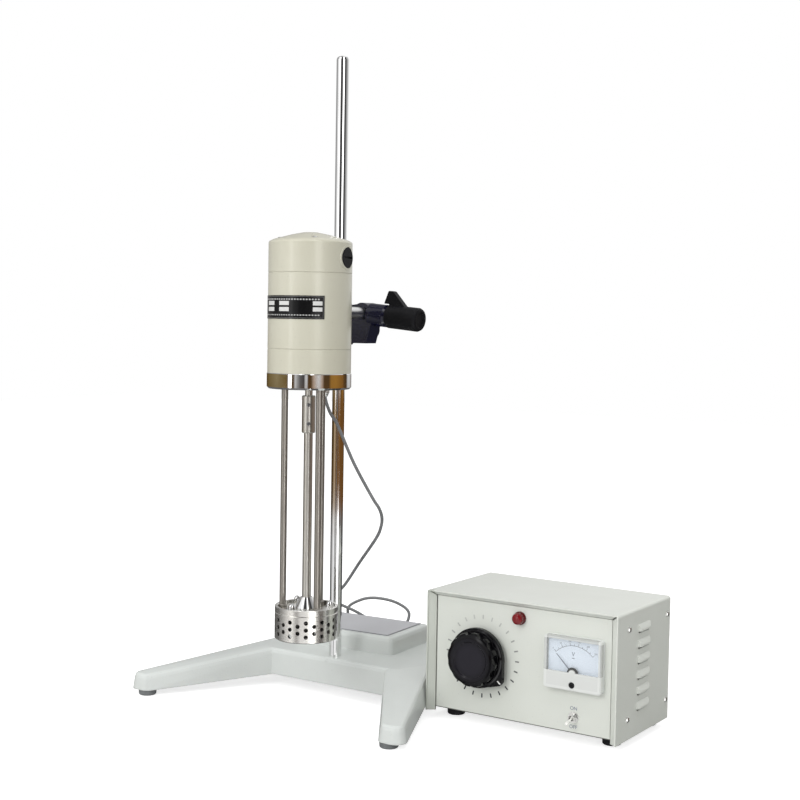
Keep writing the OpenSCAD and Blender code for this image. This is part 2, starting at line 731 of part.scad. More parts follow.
// Folded cover: two sides and a top with louvres, its front edge sloped in to the panel with open mitres
module controller_cover() box_frame() color(panel_grey) difference() {
  union() {
    translate([0, box_d, box_foot]) rotate([90, 0, 0]) linear_extrude(height = box_d) difference() {
      cover_outline();
      translate([sheet, -1]) square([box_w - 2 * sheet, box_h - sheet + 1]);
    }
    intersection() {
      translate([0, 20, box_foot]) rotate([90, 0, 0]) linear_extrude(height = 20) cover_outline();
      union() {
        both_sides() translate([0, 0, box_foot])
          linear_extrude(height = box_h) sloped_edge(frame_w, panel_back);
        translate([0, 0, box_top]) rotate([0, 90, 0])
          linear_extrude(height = box_w) sloped_edge(frame_h, panel_back);
      }
    }
    both_sides() louvre_bank(false);
  }
  both_sides() {
    louvre_bank(true);
    for (y = screw_y, z = screw_z) translate([-1, y, z]) rotate([0, 90, 0]) cylinder(h = 4, r = 1.5);
    translate([0, -1, box_top]) rotate([0, atan2(frame_h, frame_w), 0]) translate([3.6, 0, -0.6])
      cube([11, panel_back + 4, 1.2]);
  }
}

// Rear panel's sheet: a face with flanges turned back at the sides and the foot
module folded_panel() {
  cube([box_w - 2 * sheet, sheet, box_top - sheet - floor_low]);
  cube([box_w - 2 * sheet, 14, sheet]);
  for (x = [0, box_w - 3 * sheet]) translate([x, 0, 2 * sheet])
    cube([sheet, 14, box_top - 3 * sheet - floor_low]);
}

// Side of the front panel: folded back, out to the cover's wall and along it to the screws
module joggled_side(inset) translate([0, 0, floor_low + 2 * sheet])
  linear_extrude(height = panel_top - floor_low - 4 * sheet) polygon([
    [inset, panel_back], [inset + sheet, panel_back], [inset + sheet, 16], [2 * sheet, 16], [2 * sheet, 34],
    [sheet, 34], [sheet, 14.5], [inset, 14.5]
  ]);

module panel_fixings(y) {
  for (x = foot_x) translate([x, foot_y[y], 0]) cylinder(h = 20, r = 2.5);
  both_sides() for (z = screw_z)
    translate([-1, screw_y[y], z]) rotate([0, 90, 0]) cylinder(h = 6, r = 1.5);
}

module front_panel() box_frame() color(panel_grey) difference() {
  union() {
    translate([panel_left, panel_back, floor_low]) {
      cube([box_w - panel_left - panel_right, sheet, panel_top - floor_low]);
      cube([box_w - panel_left - panel_right, 40 - panel_back, sheet]);
    }
    joggled_side(panel_left);
    translate([box_w, 0, 0]) mirror([1, 0, 0]) joggled_side(panel_right);
  }
  panel_fixings(0);
  on_panel(knob_at, panel_back + 5) cylinder(h = 10, r = 3.4);
  on_panel(lamp_at, panel_back + 5) cylinder(h = 10, r = 5);
  on_panel(meter_at, panel_back + 5) cylinder(h = 10, r = 25);
  on_panel(toggle_at, panel_back + 5) cylinder(h = 10, r = 3.4);
}

module rear_panel() box_frame() color(panel_grey) difference() {
  translate([sheet, box_d, floor_low]) mirror([0, 1, 0]) folded_panel();
  panel_fixings(1);
  on_panel(fuse_at, box_d + 5) cylinder(h = 10, r = 6);
  for (x = gland_x) on_panel([x, gland_z], box_d + 5) cylinder(h = 10, r = 5);
}

module controller_feet() box_frame() color(rubber)
  for (x = foot_x, y = foot_y) translate([x, y, 0]) foot(10, floor_low, 5);

module cover_screws() box_frame() color(chrome) both_sides()
  for (y = screw_y, z = screw_z) translate([0, y, z]) rotate([0, -90, 0]) difference() {
    union() {
      translate([0, 0, -5]) cylinder(h = 5.5, r = 1.5);
      rotate_extrude() polygon([[0, 0], [3, 0], [3, 0.8], [2.2, 1.7], [0, 2.1]]);
    }
    for (a = [0, 90]) rotate([0, 0, a]) translate([-1.6, -0.35, 1.1]) cube([3.2, 0.7, 3]);
  }

// Moulded knob on its hub: a nosed skirt, a fluted grip and a dished face with a raised ring
module speed_knob() box_frame() color(black) on_panel(knob_at, panel_back - 1) difference() {
  union() {
    cylinder(h = 8, r = 9);
    translate([0, 0, 5.5]) linear_extrude(height = 5) {
      circle(31.5);
      rotate(knob_turn) polygon([
        [31.5 * cos(39), 31.5 * sin(39)], [36.8, 3.8], [38, 2.4],
        [38, -2.4], [36.8, -3.8], [31.5 * cos(39), -31.5 * sin(39)]
      ]);
    }
    translate([0, 0, 10.5]) cylinder(h = 1.4, r1 = 30.8, r2 = 29.4);
    translate([0, 0, 10.5]) intersection() {
      linear_extrude(height = 16) difference() {
        circle(28.6);
        for (i = [0 : knob_flutes - 1])
          rotate(knob_turn + (i + 0.5) * 360 / knob_flutes) translate([33.8, 0]) circle(7.4);
      }
      rotate_extrude() polygon([
        [0, 0], [28.7, 0], [28.6, 9.6], [27.9, 11.6], [26.2, 13], [23.4, 13.8],
        [19.8, 13.6], [18.4, 12.4], [0, 12.4]
      ]);
    }
  }
  translate([0, 0, -1]) cylinder(h = 17, r = 3);
  translate([0, 0, 4.5]) difference() {
    cylinder(h = 4, r = 26);
    cylinder(h = 6, r = 9);
  }
}

// Spindle of the regulating transformer with its wiper arm and carbon contact
module variac_arm() box_frame() color(brass) on_panel(knob_at, 0) union() {
  translate([0, 0, -70]) cylinder(h = 80, r = 3);
  translate([0, 0, -40]) cylinder(h = 8, r = 8);
  rotate(knob_turn) translate([0, -5, -39]) cube([39, 10, 3]);
  rotate(knob_turn) translate([31, -3, -41.7]) cube([8, 6, 4]);
}

module variac_core() box_frame() color(iron) difference() {
  union() {
    on_panel(knob_at, 72) difference() {
      cylinder(h = 26, r = 40);
      translate([0, 0, -1]) cylinder(h = 30, r = 24);
    }
    on_panel(knob_at, 76) cylinder(h = 4, r = 44);
    translate([knob_at[0] - 24, 72, floor_low + 2 * sheet]) cube([48, 4, knob_at[1] - floor_low]);
    translate([knob_at[0] - 24, 72, floor_low + 2 * sheet]) cube([48, 22, 4]);
  }
  on_panel(knob_at, 80) cylinder(h = 30, r = 3.4);
}

module variac_winding() box_frame() color(copper) on_panel(knob_at, 72) difference() {
  rotate_extrude() polygon([
    [20, 0], [20, 28], [22, 30], [42, 30], [44, 28], [44, 0], [40, 0], [40, 26], [24, 26], [24, 0]
  ]);
}

// Pilot lamp: a ribbed red cap in front, its holder behind the panel
module pilot_lens() box_frame() color([0.62, 0.08, 0.10]) on_panel(lamp_at, panel_back) difference() {
  union() {
    translate([0, 0, -4]) cylinder(h = 5, r = 5);
    rotate_extrude()
      polygon([[0, 0], [7, 0], [7, 1.6], [6.2, 2.2], [6.2, 6], [5.4, 8], [3.6, 9.3], [0, 9.8]]);
  }
  for (i = [0 : 11]) rotate(i * 30) translate([6.6, 0, 2.4]) cylinder(h = 9, r = 0.8, $fn = 24);
}

module pilot_body() box_frame() color(black) on_panel(lamp_at, panel_back + sheet) rotate_extrude()
  polygon([[0, -28], [4.5, -28], [5, -24], [8, -24], [8, 0], [5, 0], [5, -2.5], [0, -2.5]]);

// Panel meter: a square front on a round body
module meter_case() box_frame() color(panel_grey) union() {
  on_panel(meter_at, panel_back) rounded_plate(meter_size[0], meter_size[1], 3, 3);
  on_panel(meter_at, panel_back + 30) rotate_extrude()
    polygon([[0, 0], [23.5, 0], [25, 1.5], [25, 31], [0, 31]]);
}

module meter_window() box_frame() color([0.86, 0.89, 0.91, 0.5]) difference() {
  union() {
    on_panel(meter_at, panel_back - 3) rounded_plate(meter_size[0], meter_size[1], 5, 3);
    on_panel(meter_at, panel_back - 8) rounded_plate(meter_size[0] - 1.6, meter_size[1] - 1.6, 0.7, 3);
  }
  on_panel(meter_at, panel_back - 2) rounded_plate(meter_size[0] - 4, meter_size[1] - 4, 5.5, 2);
  on_panel([meter_at[0], zero_z], panel_back) cylinder(h = 20, r = 3.3);
}

module meter_dial() box_frame() color([0.84, 0.87, 0.91])
  on_panel([meter_at[0], meter_at[1] + 6.5], panel_back - 3) rounded_plate(58, 36, 0.8, 1);

// Needle drawn at rest on the left end of its scale
module meter_needle() box_frame() color(black) on_panel([meter_at[0], pivot_z], panel_back - 4.4) union() {
  cylinder(h = 2, r = 2.2);
  rotate(45) translate([0, 0, 0.7]) linear_extrude(height = 0.5)
    polygon([[-0.6, -5], [0.6, -5], [0.5, 14], [0.2, 27], [-0.2, 27], [-0.5, 14]]);
}

module meter_screw() box_frame() color(black) on_panel([meter_at[0], zero_z], panel_back - 5.5) difference() {
  rotate_extrude() polygon([[0, 0], [3, 0], [3, 3.6], [2.4, 4.4], [0, 4.7]]);
  translate([-3.5, -0.5, 3.6]) cube([7, 1, 3]);
}

// Miniature toggle switch: body behind the panel, threaded bushing through it
module toggle_body() box_frame() color(black) difference() {
  union() {
    translate([toggle_at[0] - 4, panel_back + sheet, toggle_at[1] - 6.5]) cube([8, 10, 13]);
    on_panel(toggle_at, panel_back + sheet + 1) cylinder(h = 8.5, r = 3.3);
    for (z = [-4.5, 0, 4.5])
      translate([toggle_at[0] - 1, panel_back + sheet + 9.5, toggle_at[1] + z - 0.4]) cube([2, 6, 0.8]);
  }
  on_panel(toggle_at, panel_back + 0.5) cylinder(h = 20, r = 2.6);
}

module toggle_nut() box_frame() color(chrome) on_panel(toggle_at, panel_back) difference() {
  union() {
    cylinder(h = 0.6, r = 5.8);
    translate([0, 0, 0.6]) cylinder(h = 2, r = 4.8, $fn = 6);
  }
  translate([0, 0, -1]) cylinder(h = 6, r = 3.3);
}

// Bat lever on its ball and cross pin, drawn in the lower position
module toggle_lever() box_frame() color(chrome)
  translate([toggle_at[0], panel_back - 2.5, toggle_at[1]]) rotate([90 - toggle_tilt, 0, 0]) union() {
    sphere(r = 2);
    rotate([0, 90, 0]) cylinder(h = 4.8, r = 0.7, center = true);
    rotate_extrude() polygon([[0, 0], [1.1, 0], [1.1, 4], [1.75, 13], [1.5, 14.4], [0.8, 15], [0, 15.1]]);
  }

module fuse_holder() box_frame() color(black) on_panel(fuse_at, box_d) difference() {
  rotate_extrude() polygon([
    [0, -8.5], [8, -8.5], [8.6, -7.8], [8.6, 0], [6, 0], [6, 18], [4.5, 18.6], [0, 18.6]
  ]);
  translate([-6, -0.8, -10]) cube([12, 1.6, 3]);
}

// Domed cable glands: motor cord on the left, supply inlet on the right
module rear_glands() box_frame() color(black) for (x = gland_x)
  on_panel([x, gland_z], box_d) difference() {
    union() {
      translate([0, 0, -4]) cylinder(h = 4, r = 8, $fn = 6);
      translate([0, 0, -10]) cylinder(h = 6, r1 = 4.4, r2 = 7);
      cylinder(h = 8, r = 5);
      translate([0, 0, sheet]) cylinder(h = 3, r = 8, $fn = 6);
    }
    if (x != gland_x[0]) translate([0, 0, -11]) cylinder(h = 22, r = 3);
  }

base_casting();
base_feet();
base_label();
column();
column_nut();
boss_head();
support_bar();
bar_clamp();
column_clamp();
motor_cap();
motor_body();
motor_base();
flange_ring();
nameplate();
cap_screws();
brush_caps();
brush_holders();
carbon_brushes();
field_core();
field_coils();
motor_bearings();
motor_shaft();
armature();
commutator();
cooling_fan();
cord_gland_nut();
motor_cord();
support_rods();
coupling();
coupling_screws();
work_shaft();
stator_cover();
stator_cup();
shaft_hub();
cover_nuts();
rotor();
rotor_nut();
controller_tray();
controller_cover();
front_panel();
rear_panel();
controller_feet();
cover_screws();
speed_knob();
variac_arm();
variac_core();
variac_winding();
pilot_lens();
pilot_body();
meter_case();
meter_window();
meter_dial();
meter_needle();
meter_screw();
toggle_body();
toggle_nut();
toggle_lever();
fuse_holder();
rear_glands();
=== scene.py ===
# %% [markdown]
# # A laboratory homogenizer, dressed for its portrait
#
# The packed model is the frame: every solid of the stand, the motor head and the speed box is already
# in its place. This lesson gives those solids their finishes, and adds what a machine shop doesn't make:
# the motor cord, the printed marks of the dial, the words by the switch and the scale of the meter.

# %% Load the packed model
from math import cos, pi, radians, sin

import bpy
from mathutils import Matrix, Vector


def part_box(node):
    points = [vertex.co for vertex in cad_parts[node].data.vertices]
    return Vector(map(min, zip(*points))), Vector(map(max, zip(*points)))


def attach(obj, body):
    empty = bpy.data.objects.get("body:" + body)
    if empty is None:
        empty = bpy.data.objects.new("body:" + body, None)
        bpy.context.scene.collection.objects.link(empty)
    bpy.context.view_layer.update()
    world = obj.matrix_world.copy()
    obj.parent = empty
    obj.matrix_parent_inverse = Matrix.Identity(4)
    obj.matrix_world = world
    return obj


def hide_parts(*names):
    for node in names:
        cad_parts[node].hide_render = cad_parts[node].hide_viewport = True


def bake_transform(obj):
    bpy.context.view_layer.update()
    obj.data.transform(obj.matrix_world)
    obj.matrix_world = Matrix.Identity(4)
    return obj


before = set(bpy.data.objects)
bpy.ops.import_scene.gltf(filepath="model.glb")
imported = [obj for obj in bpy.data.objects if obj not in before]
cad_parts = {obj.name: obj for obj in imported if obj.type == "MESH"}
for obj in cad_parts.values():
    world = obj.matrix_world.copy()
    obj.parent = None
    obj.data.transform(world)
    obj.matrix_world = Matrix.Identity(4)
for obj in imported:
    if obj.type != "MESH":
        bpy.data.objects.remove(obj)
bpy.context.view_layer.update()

# %% [markdown]
# ## Three places to count from
#
# Pieces are easier to place from something real than from the origin. The column's axis serves for the
# stand, the motor's axis for the head, and the face of the panel for all that is on the speed box. Each is
# read from the box of a node, so the pieces follow if the model moves.

# %% Column, motor and panel
column_low, column_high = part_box("column")
body_low, body_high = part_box("motor_body")
panel_low, panel_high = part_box("front_panel")
column_axis = (column_low + column_high) / 2
motor_axis = (body_low + body_high) / 2
cover_wall = 0.0015


def from_column(x, y, z):
    """A point in metres, given in millimetres from the column's axis and the bench."""
    return Vector((column_axis.x + x / 1000, column_axis.y + y / 1000, z / 1000))


def on_panel(x, z, out=0.0):
    """A point in metres: millimetres from the box's left wall, above the bench and out of the panel."""
    return Vector((panel_low.x - cover_wall + x / 1000, panel_low.y - out / 1000, z / 1000))


print("column at", column_axis.xy[:], "motor at", motor_axis.xy[:], "panel face at", panel_low.y)

# %% [markdown]
# ## The camera
#
# The photograph was taken from the right of the stand, with the lens a little above the middle of it.
# The place and the turn were worked out from points that the picture and the model share. The camera is
# turned about Z, tipped about X and then rolled about its own axis, in that order.

# %% Camera
heading, tilt, roll = radians(33.68), radians(86.7), radians(0.91)
bpy.ops.object.select_all(action="DESELECT")
bpy.ops.object.camera_add(location=from_column(934.3, -1276.4, 427.3))
camera = bpy.context.object
camera.data.lens = 63.0
camera.data.sensor_width = 36.0
turn = Matrix.Rotation(heading, 4, "Z") @ Matrix.Rotation(tilt, 4, "X") @ Matrix.Rotation(roll, 4, "Z")
camera.matrix_world = Matrix.Translation(camera.location) @ turn
bpy.context.scene.camera = camera
print("camera at", [round(value, 3) for value in camera.matrix_world.translation])

# %% [markdown]
# ## The cord's route
#
# A thin grey cord leaves a gland under the motor, hangs past the column, lies in loose loops behind the
# stand and runs to the back of the speed box. The route is a short list of points, joined by a smooth curve
# that passes through each of them.

# %% Route of the cord
cord_diameter = 0.0036
cord_points = [from_column(*point) for point in (
    (30, -66, 345.5), (30.9, -65.3, 338.5), (33.9, -60.9, 325), (38.6, -53.7, 311.8), (47, -34, 269.2),
    (57.2, -13, 230.8), (61.1, -4, 217.1), (59.4, 4, 205.3), (52.3, 12, 193), (39.9, 21, 178.7),
    (2, 43, 144.1), (-44, 76, 106), (-80, 100, 84), (-88, 122, 73), (-68, 140, 60),
    (-44, 150, 44), (-32, 166, 26), (-44, 184, 13), (-72, 188, 14), (-97, 174, 34), (-92, 152, 60),
    (-74, 155, 73), (-54, 160, 77), (-28, 165, 74), (-9, 166, 64), (-8, 158, 48),
    (-16, 150, 28), (-2, 150, 9), (28, 158, 2.8), (100, 172, 2.1), (160, 176, 2.1), (205, 172, 4),
    (226, 158, 16), (231, 141, 28), (231, 131, 30), (231, 119, 30))]


def smooth_route(points, steps):
    """Points on a curve through all the given ones, so many to each stretch."""
    dense = []
    for index in range(len(points) - 1):
        before, here = points[max(index - 1, 0)], points[index]
        there, after = points[index + 1], points[min(index + 2, len(points) - 1)]
        for step in range(steps):
            t = step / steps
            dense.append(0.5 * (2 * here + (there - before) * t
                                + (2 * before - 5 * here + 4 * there - after) * t * t
                                + (3 * here - before - 3 * there + after) * t ** 3))
    return dense + [points[-1]]


cord_line = smooth_route(cord_points, steps=8)
cord_length = sum((b - a).length for a, b in zip(cord_line, cord_line[1:]))
print("cord:", round(cord_length, 3), "m through", len(cord_points), "points")

# %% [markdown]
# ## The motor cord
#
# A real cord is drawn through a die, so its section is the same all along. A curve with a round section
# becomes the tube, and is then made a mesh. On the stand its upper end rises with the motor while the lower
# end stays on the bench.

# %% Cord along its route


def select_only(*pieces):
    """Selects these pieces and nothing else. The first of them becomes the active one."""
    bpy.ops.object.select_all(action="DESELECT")
    for piece in pieces:
        piece.select_set(True)
    bpy.context.view_layer.objects.active = pieces[0]


cord_curve = bpy.data.curves.new("cord_line", "CURVE")
cord_curve.dimensions = "3D"
cord_curve.bevel_depth = cord_diameter / 2
cord_curve.bevel_resolution = 4
cord_curve.use_fill_caps = True
spline = cord_curve.splines.new("POLY")
spline.points.add(len(cord_line) - 1)
for spot, place in zip(spline.points, cord_line):
    spot.co = (*place, 1)
motor_lead = bpy.data.objects.new("motor_lead", cord_curve)
bpy.context.scene.collection.objects.link(motor_lead)
select_only(motor_lead)
bpy.ops.object.convert(target="MESH")
bpy.ops.object.shade_smooth()
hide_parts("motor_cord")
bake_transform(motor_lead)
print("cord tube:", len(motor_lead.data.polygons), "faces")

# %% [markdown]
# ## Sums in a shader
#
# A finish is a tree of nodes, and most of a tree is arithmetic. One small class stands for an output that
# can be added, multiplied or subtracted like a number, so a mask reads as a formula.

# %% Wires


class Wire:
    """One output of a shader tree, which takes part in sums."""

    def __init__(self, tree, socket):
        self.tree, self.socket = tree, socket

    def _sum(self, operation, *values):
        return self.tree.node("ShaderNodeMath", {"operation": operation}, dict(enumerate(values)))

    def __add__(self, other):
        return self._sum("ADD", self, other)

    def __radd__(self, other):
        return self._sum("ADD", other, self)

    def __sub__(self, other):
        return self._sum("SUBTRACT", self, other)

    def __rsub__(self, other):
        return self._sum("SUBTRACT", other, self)

    def __mul__(self, other):
        return self._sum("MULTIPLY", self, other)

    def __rmul__(self, other):
        return self._sum("MULTIPLY", other, self)

    def __truediv__(self, other):
        return self._sum("DIVIDE", self, other)

    def __rtruediv__(self, other):
        return self._sum("DIVIDE", other, self)

    def __abs__(self):
        return self._sum("ABSOLUTE", self)

    def sine(self):
        return self._sum("SINE", self)

    def root(self):
        return self._sum("SQRT", self)

    def bearing(self, ahead):
        """The angle in radians from straight ahead, of a point this far to the side."""
        return self._sum("ARCTAN2", self, ahead)

    def least(self, other):
        return self._sum("MINIMUM", self, other)

    def most(self, other):
        return self._sum("MAXIMUM", self, other)

    def over(self, edge, soft):
        """0 below an edge and 1 above it, with a soft step between."""
        return self.tree.node("ShaderNodeMath", {"operation": "MULTIPLY_ADD", "use_clamp": True},
                              {0: self - edge, 1: 1 / soft, 2: 0.5})

    def within(self, low, high, soft):
        """1 between two edges and 0 outside."""
        return self.over(low, soft) - self.over(high, soft)


print("sums:", [name for name in vars(Wire) if not name.startswith("_")])

# %% [markdown]
# ## A tree of nodes
#
# A second class holds the tree and makes any node from its type, its settings and its sockets. Three kinds
# of node are wanted so often that they get a short name: a mix of two colours, soft noise, and the three
# numbers of a place.

# %% Trees


class Tree:
    """A shader tree, and one way to add any node to it."""

    def __init__(self, node_tree):
        self.nodes, self.links = node_tree.nodes, node_tree.links

    def join(self, value, socket):
        """Leads a wire to a socket, or sets the socket to a constant."""
        if isinstance(value, Wire):
            self.links.new(value.socket, socket)
        else:
            socket.default_value = value

    def node(self, kind, settings=None, sockets=None, output=0):
        """A node of any kind. Its setting "stops" holds the places and colours of a ramp."""
        made = self.nodes.new(kind)
        for name, value in (settings or {}).items():
            if name == "stops":
                ramp = made.color_ramp.elements
                while len(ramp) < len(value):
                    ramp.new(0.5)
                for stop, (place, colour) in zip(ramp, value):
                    stop.position, stop.color = place, colour
            else:
                setattr(made, name, value)
        for name, value in (sockets or {}).items():
            self.join(value, made.inputs[name])
        return Wire(self, made.outputs[output])

    def mix(self, share, first, second):
        """One colour fading into another."""
        return self.node("ShaderNodeMix", {"data_type": "RGBA"}, {0: share, 6: first, 7: second}, output=2)

    def cloud(self, place, size, detail=2.0, stretch=None):
        """Soft noise with features of about this size in metres."""
        if stretch:
            place = self.node("ShaderNodeMapping", {}, {"Vector": place, "Scale": stretch})
        return self.node("ShaderNodeTexNoise", {}, {"Vector": place, "Scale": 1 / size, "Detail": detail})

    def axes(self, vector):
        """The three numbers of a vector."""
        split = self.node("ShaderNodeSeparateXYZ", {}, {0: vector}).socket.node
        return [Wire(self, split.outputs[index]) for index in range(3)]


def seen(red, green, blue):
    """A colour as it is read off a screen, 0 to 255, turned into light."""
    def light(value):
        value /= 255
        return value / 12.92 if value <= 0.04045 else ((value + 0.055) / 1.055) ** 2.4
    return (light(red), light(green), light(blue), 1.0)


print("seen mid grey:", [round(value, 3) for value in seen(128, 128, 128)])

# %% [markdown]
# ## A finish
#
# Every finish starts the same way: a material with one Principled shader, whose constants are set on its own
# sockets, and Object coordinates, which here are metres in the frame of the whole model. A bevel node rounds
# the normals at hard corners, because no painted or moulded edge is truly sharp, and where the rounded and
# the true normal part, there is an edge for paint to thin on.

# %% Finish
edge_gain = 9.0  # the edge is full where the normals are 27 degrees apart


class Finish(Tree):
    """A material on one Principled shader."""

    def __init__(self, name, **constants):
        self.material = bpy.data.materials.new(name)
        self.material.use_nodes = True
        super().__init__(self.material.node_tree)
        self.shader = self.nodes["Principled BSDF"]
        self.feed(**constants)
        self.place = self.node("ShaderNodeTexCoord", output="Object")

    def feed(self, **values):
        """Gives the shader's sockets their wires or constants."""
        for socket, value in values.items():
            self.join(value, self.shader.inputs[socket.replace("_", " ")])

    def round_edges(self, radius):
        return self.node("ShaderNodeBevel", {"samples": 4}, {"Radius": radius})

    def edge(self, rounded):
        """1 on a hard corner, 0 on a flat."""
        true_normal = self.node("ShaderNodeNewGeometry", output="Normal")
        match = self.node("ShaderNodeVectorMath", {"operation": "DOT_PRODUCT"},
                          {0: rounded, 1: true_normal}, output="Value")
        return ((1 - match) * edge_gain).over(0.5, 1.0)

    def bump(self, height, depth, rounded=None):
        """Raises the skin by a height from 0 to 1, times a depth in metres."""
        sockets = {"Height": height, "Distance": depth, "Strength": 1.0}
        if rounded:
            sockets["Normal"] = rounded
        self.feed(Normal=self.node("ShaderNodeBump", {}, sockets))


def dress(finish, *names):
    """Puts a finish on CAD nodes."""
    for name in names:
        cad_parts[name].data.materials.clear()
        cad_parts[name].data.materials.append(finish.material)
    print(finish.material.name, "on", ", ".join(names))


# %% [markdown]
# ## Enamel
#
# The casting, the motor and the speed box are sprayed with pale enamel and stoved. Close up, such paint has
# an orange-peel skin of low waves, slow drifts of tone where the coats overlapped, fine nibs of dust, and it
# is thinner and a little brighter on the corners. One function makes all three, with a coarser skin on the
# iron. On the speed box a painted shadow line runs along the bottom edge under the panel, and painted shade
# darkens the turned-in left edge of the cover.

# %% Enamel on casting, motor and sheet
coat_overlap, nib_size = 0.09, 0.0024
turned_in, edge_depth = 0.0069, 0.0004
hem_height, hem_depth = 0.0009, 0.004
# The second and third colours here are painted shade: the shaded left strip of the cover and the shadow line
# at its hem.
dust_grey, left_strip_shade, hem_shadow_grey = seen(120, 118, 110), seen(192, 196, 187), seen(88, 90, 84)


def enamel(name, colour, drift, corner, skin, depth, gloss, radius=0.0007, panel=None):
    """Sprayed paint. With the corners of the panel, it also paints shade on the cover's edges round it."""
    paint = Finish(name, IOR=1.5, Coat_Roughness=0.12)
    slow = paint.cloud(paint.place, coat_overlap, 3.0)
    skin_waves = paint.cloud(paint.place, skin, 2.0)
    nibs = paint.cloud(paint.place, nib_size, 1.0).over(0.735, 0.05)
    rounded = paint.round_edges(radius)
    edge = paint.edge(rounded)
    tone = paint.mix(slow.over(0.5, 0.5), colour, drift)
    tone = paint.mix(edge * 0.55, tone, corner)
    if panel:
        low, high = panel
        x, y, z = paint.axes(paint.place)
        # Painted shade: the turned-in left edge of the cover is darker, as if it lay in shadow.
        painted_strip_shade = (1 - x.over(low.x + turned_in, 0.0003)) * (1 - y.over(low.y + edge_depth, 0.0004))
        tone = paint.mix(painted_strip_shade, tone, left_strip_shade)
        # Painted shadow: a dark line along the bottom of the front, under the panel, where the gap lies in
        # shade.
        hem_shadow = (1 - z.over(low.z + hem_height, 0.0005)) * (1 - y.over(low.y + hem_depth, 0.001))
        hem_width = x.within(low.x + turned_in, high.x - turned_in, 0.0004)
        tone = paint.mix(hem_shadow * hem_width, tone, hem_shadow_grey)
    paint.feed(Base_Color=paint.mix(nibs * 0.12, tone, dust_grey),
               Roughness=gloss + (slow - 0.5) * 0.10 + (skin_waves - 0.5) * 0.08 - edge * 0.05,
               Coat_Weight=0.45 + (slow - 0.5) * 0.2)
    paint.bump(skin_waves + nibs * 0.25, depth, rounded)
    return paint


dress(enamel("casting_enamel", seen(206, 210, 207), seen(198, 202, 199), seen(222, 225, 222),
             skin=0.0022, depth=0.00011, gloss=0.42, radius=0.0016), "base_casting")
dress(enamel("motor_enamel", seen(196, 194, 178), seen(190, 187, 169), seen(209, 207, 195),
             skin=0.0013, depth=0.00005, gloss=0.34), "motor_cap", "motor_body", "motor_base")
dress(enamel("sheet_enamel", seen(214, 217, 210), seen(208, 211, 203), seen(226, 228, 222),
             skin=0.0011, depth=0.00004, gloss=0.36, panel=(panel_low, panel_high)),
      "controller_cover", "front_panel", "rear_panel", "controller_tray")

# %% [markdown]
# ## Chrome
#
# The column, the flange and the small bright fittings are polished and plated: a mirror with a faint haze of
# finger marks, and rubs that run along the column because the clamp and the cloth go up and down it.

# %% Chrome


def plated(name, colour, haze, gloss):
    """Polished and plated metal with finger marks."""
    metal = Finish(name, Metallic=1.0)
    smears = metal.cloud(metal.place, 0.022, 4.0)
    rubs = metal.cloud(metal.place, 0.0050, 2.0, stretch=(1, 1, 0.06))
    metal.feed(Base_Color=metal.mix(smears.over(0.55, 0.35) * 0.5, colour, haze),
               Roughness=gloss + smears.over(0.58, 0.3) * 0.04 + rubs * 0.02)
    metal.bump(rubs, 0.0000006)
    return metal


dress(plated("chrome", (0.86, 0.86, 0.86, 1), (0.78, 0.78, 0.77, 1), gloss=0.035),
      "column", "flange_ring", "cover_nuts", "shaft_hub")
dress(plated("satin_plating", (0.82, 0.82, 0.80, 1), (0.72, 0.72, 0.70, 1), gloss=0.30),
      "cover_screws", "cap_screws", "column_nut", "toggle_body", "toggle_nut", "cord_gland_nut")

# %% [markdown]
# ## Ground steel
#
# The rods, the shaft and the perforated cup are drawn or ground, and handling has dulled them: fine streaks
# run along a rod, and faint rings run round what was turned, so their noise is stretched one way.

# %% Ground steel
along_rod, along_bar, round_axis = (1, 1, 0.03), (1, 0.05, 1), (0.05, 0.05, 1)
worn_edge = (0.80, 0.79, 0.77, 1)


def ground(name, colour, dull, gloss, stretch, size):
    """Bare metal with the streaks of its making."""
    metal = Finish(name, Metallic=1.0)
    streaks = metal.cloud(metal.place, size, 2.0, stretch=stretch)
    stain = metal.cloud(metal.place, 0.03, 3.0)
    edge = metal.edge(metal.round_edges(0.0003))
    tone = metal.mix(stain.over(0.5, 0.5), colour, dull)
    metal.feed(Base_Color=metal.mix(edge * 0.6, tone, worn_edge),
               Roughness=gloss + (streaks - 0.5) * 0.10 + (stain - 0.5) * 0.08)
    metal.bump(streaks, 0.000003)
    return metal


dress(ground("rod_steel", (0.39, 0.368, 0.335, 1), (0.335, 0.315, 0.285, 1),
             gloss=0.38, stretch=along_rod, size=0.0030), "support_rods", "motor_bearings")
dress(ground("shaft_steel", (0.72, 0.71, 0.67, 1), (0.64, 0.63, 0.59, 1),
             gloss=0.30, stretch=along_rod, size=0.0012), "work_shaft", "coupling", "motor_shaft")
dress(ground("cup_steel", (0.92, 0.91, 0.875, 1), (0.84, 0.83, 0.795, 1),
             gloss=0.25, stretch=round_axis, size=0.0009), "stator_cup", "stator_cover")
dress(ground("bar_metal", (0.84, 0.845, 0.84, 1), (0.78, 0.785, 0.78, 1),
             gloss=0.30, stretch=along_bar, size=0.0010), "support_bar")
# The rotor is painted near black: painted shade, so that the holes of the cup look as dark as the shade
# inside it.
dress(ground("shaded_rotor_steel", (0.055, 0.054, 0.052, 1), (0.035, 0.034, 0.033, 1),
             gloss=0.45, stretch=round_axis, size=0.0009), "rotor", "rotor_nut")

# %% [markdown]
# ## Bakelite, plastic and rubber
#
# The speed knob is polished bakelite, black with a trace of mottle, glossy at its side, and the middle of
# its face is painted lighter as a painted sheen. The clamp grips, the brush caps and the meter's case have a
# fine moulded grain.
# The clamp itself is gloss navy enamel on iron. The stand's feet are grey rubber and the speed box's are
# black.

# %% Moulded grain
sheen_radius, sheen_fade = 0.019, 0.012


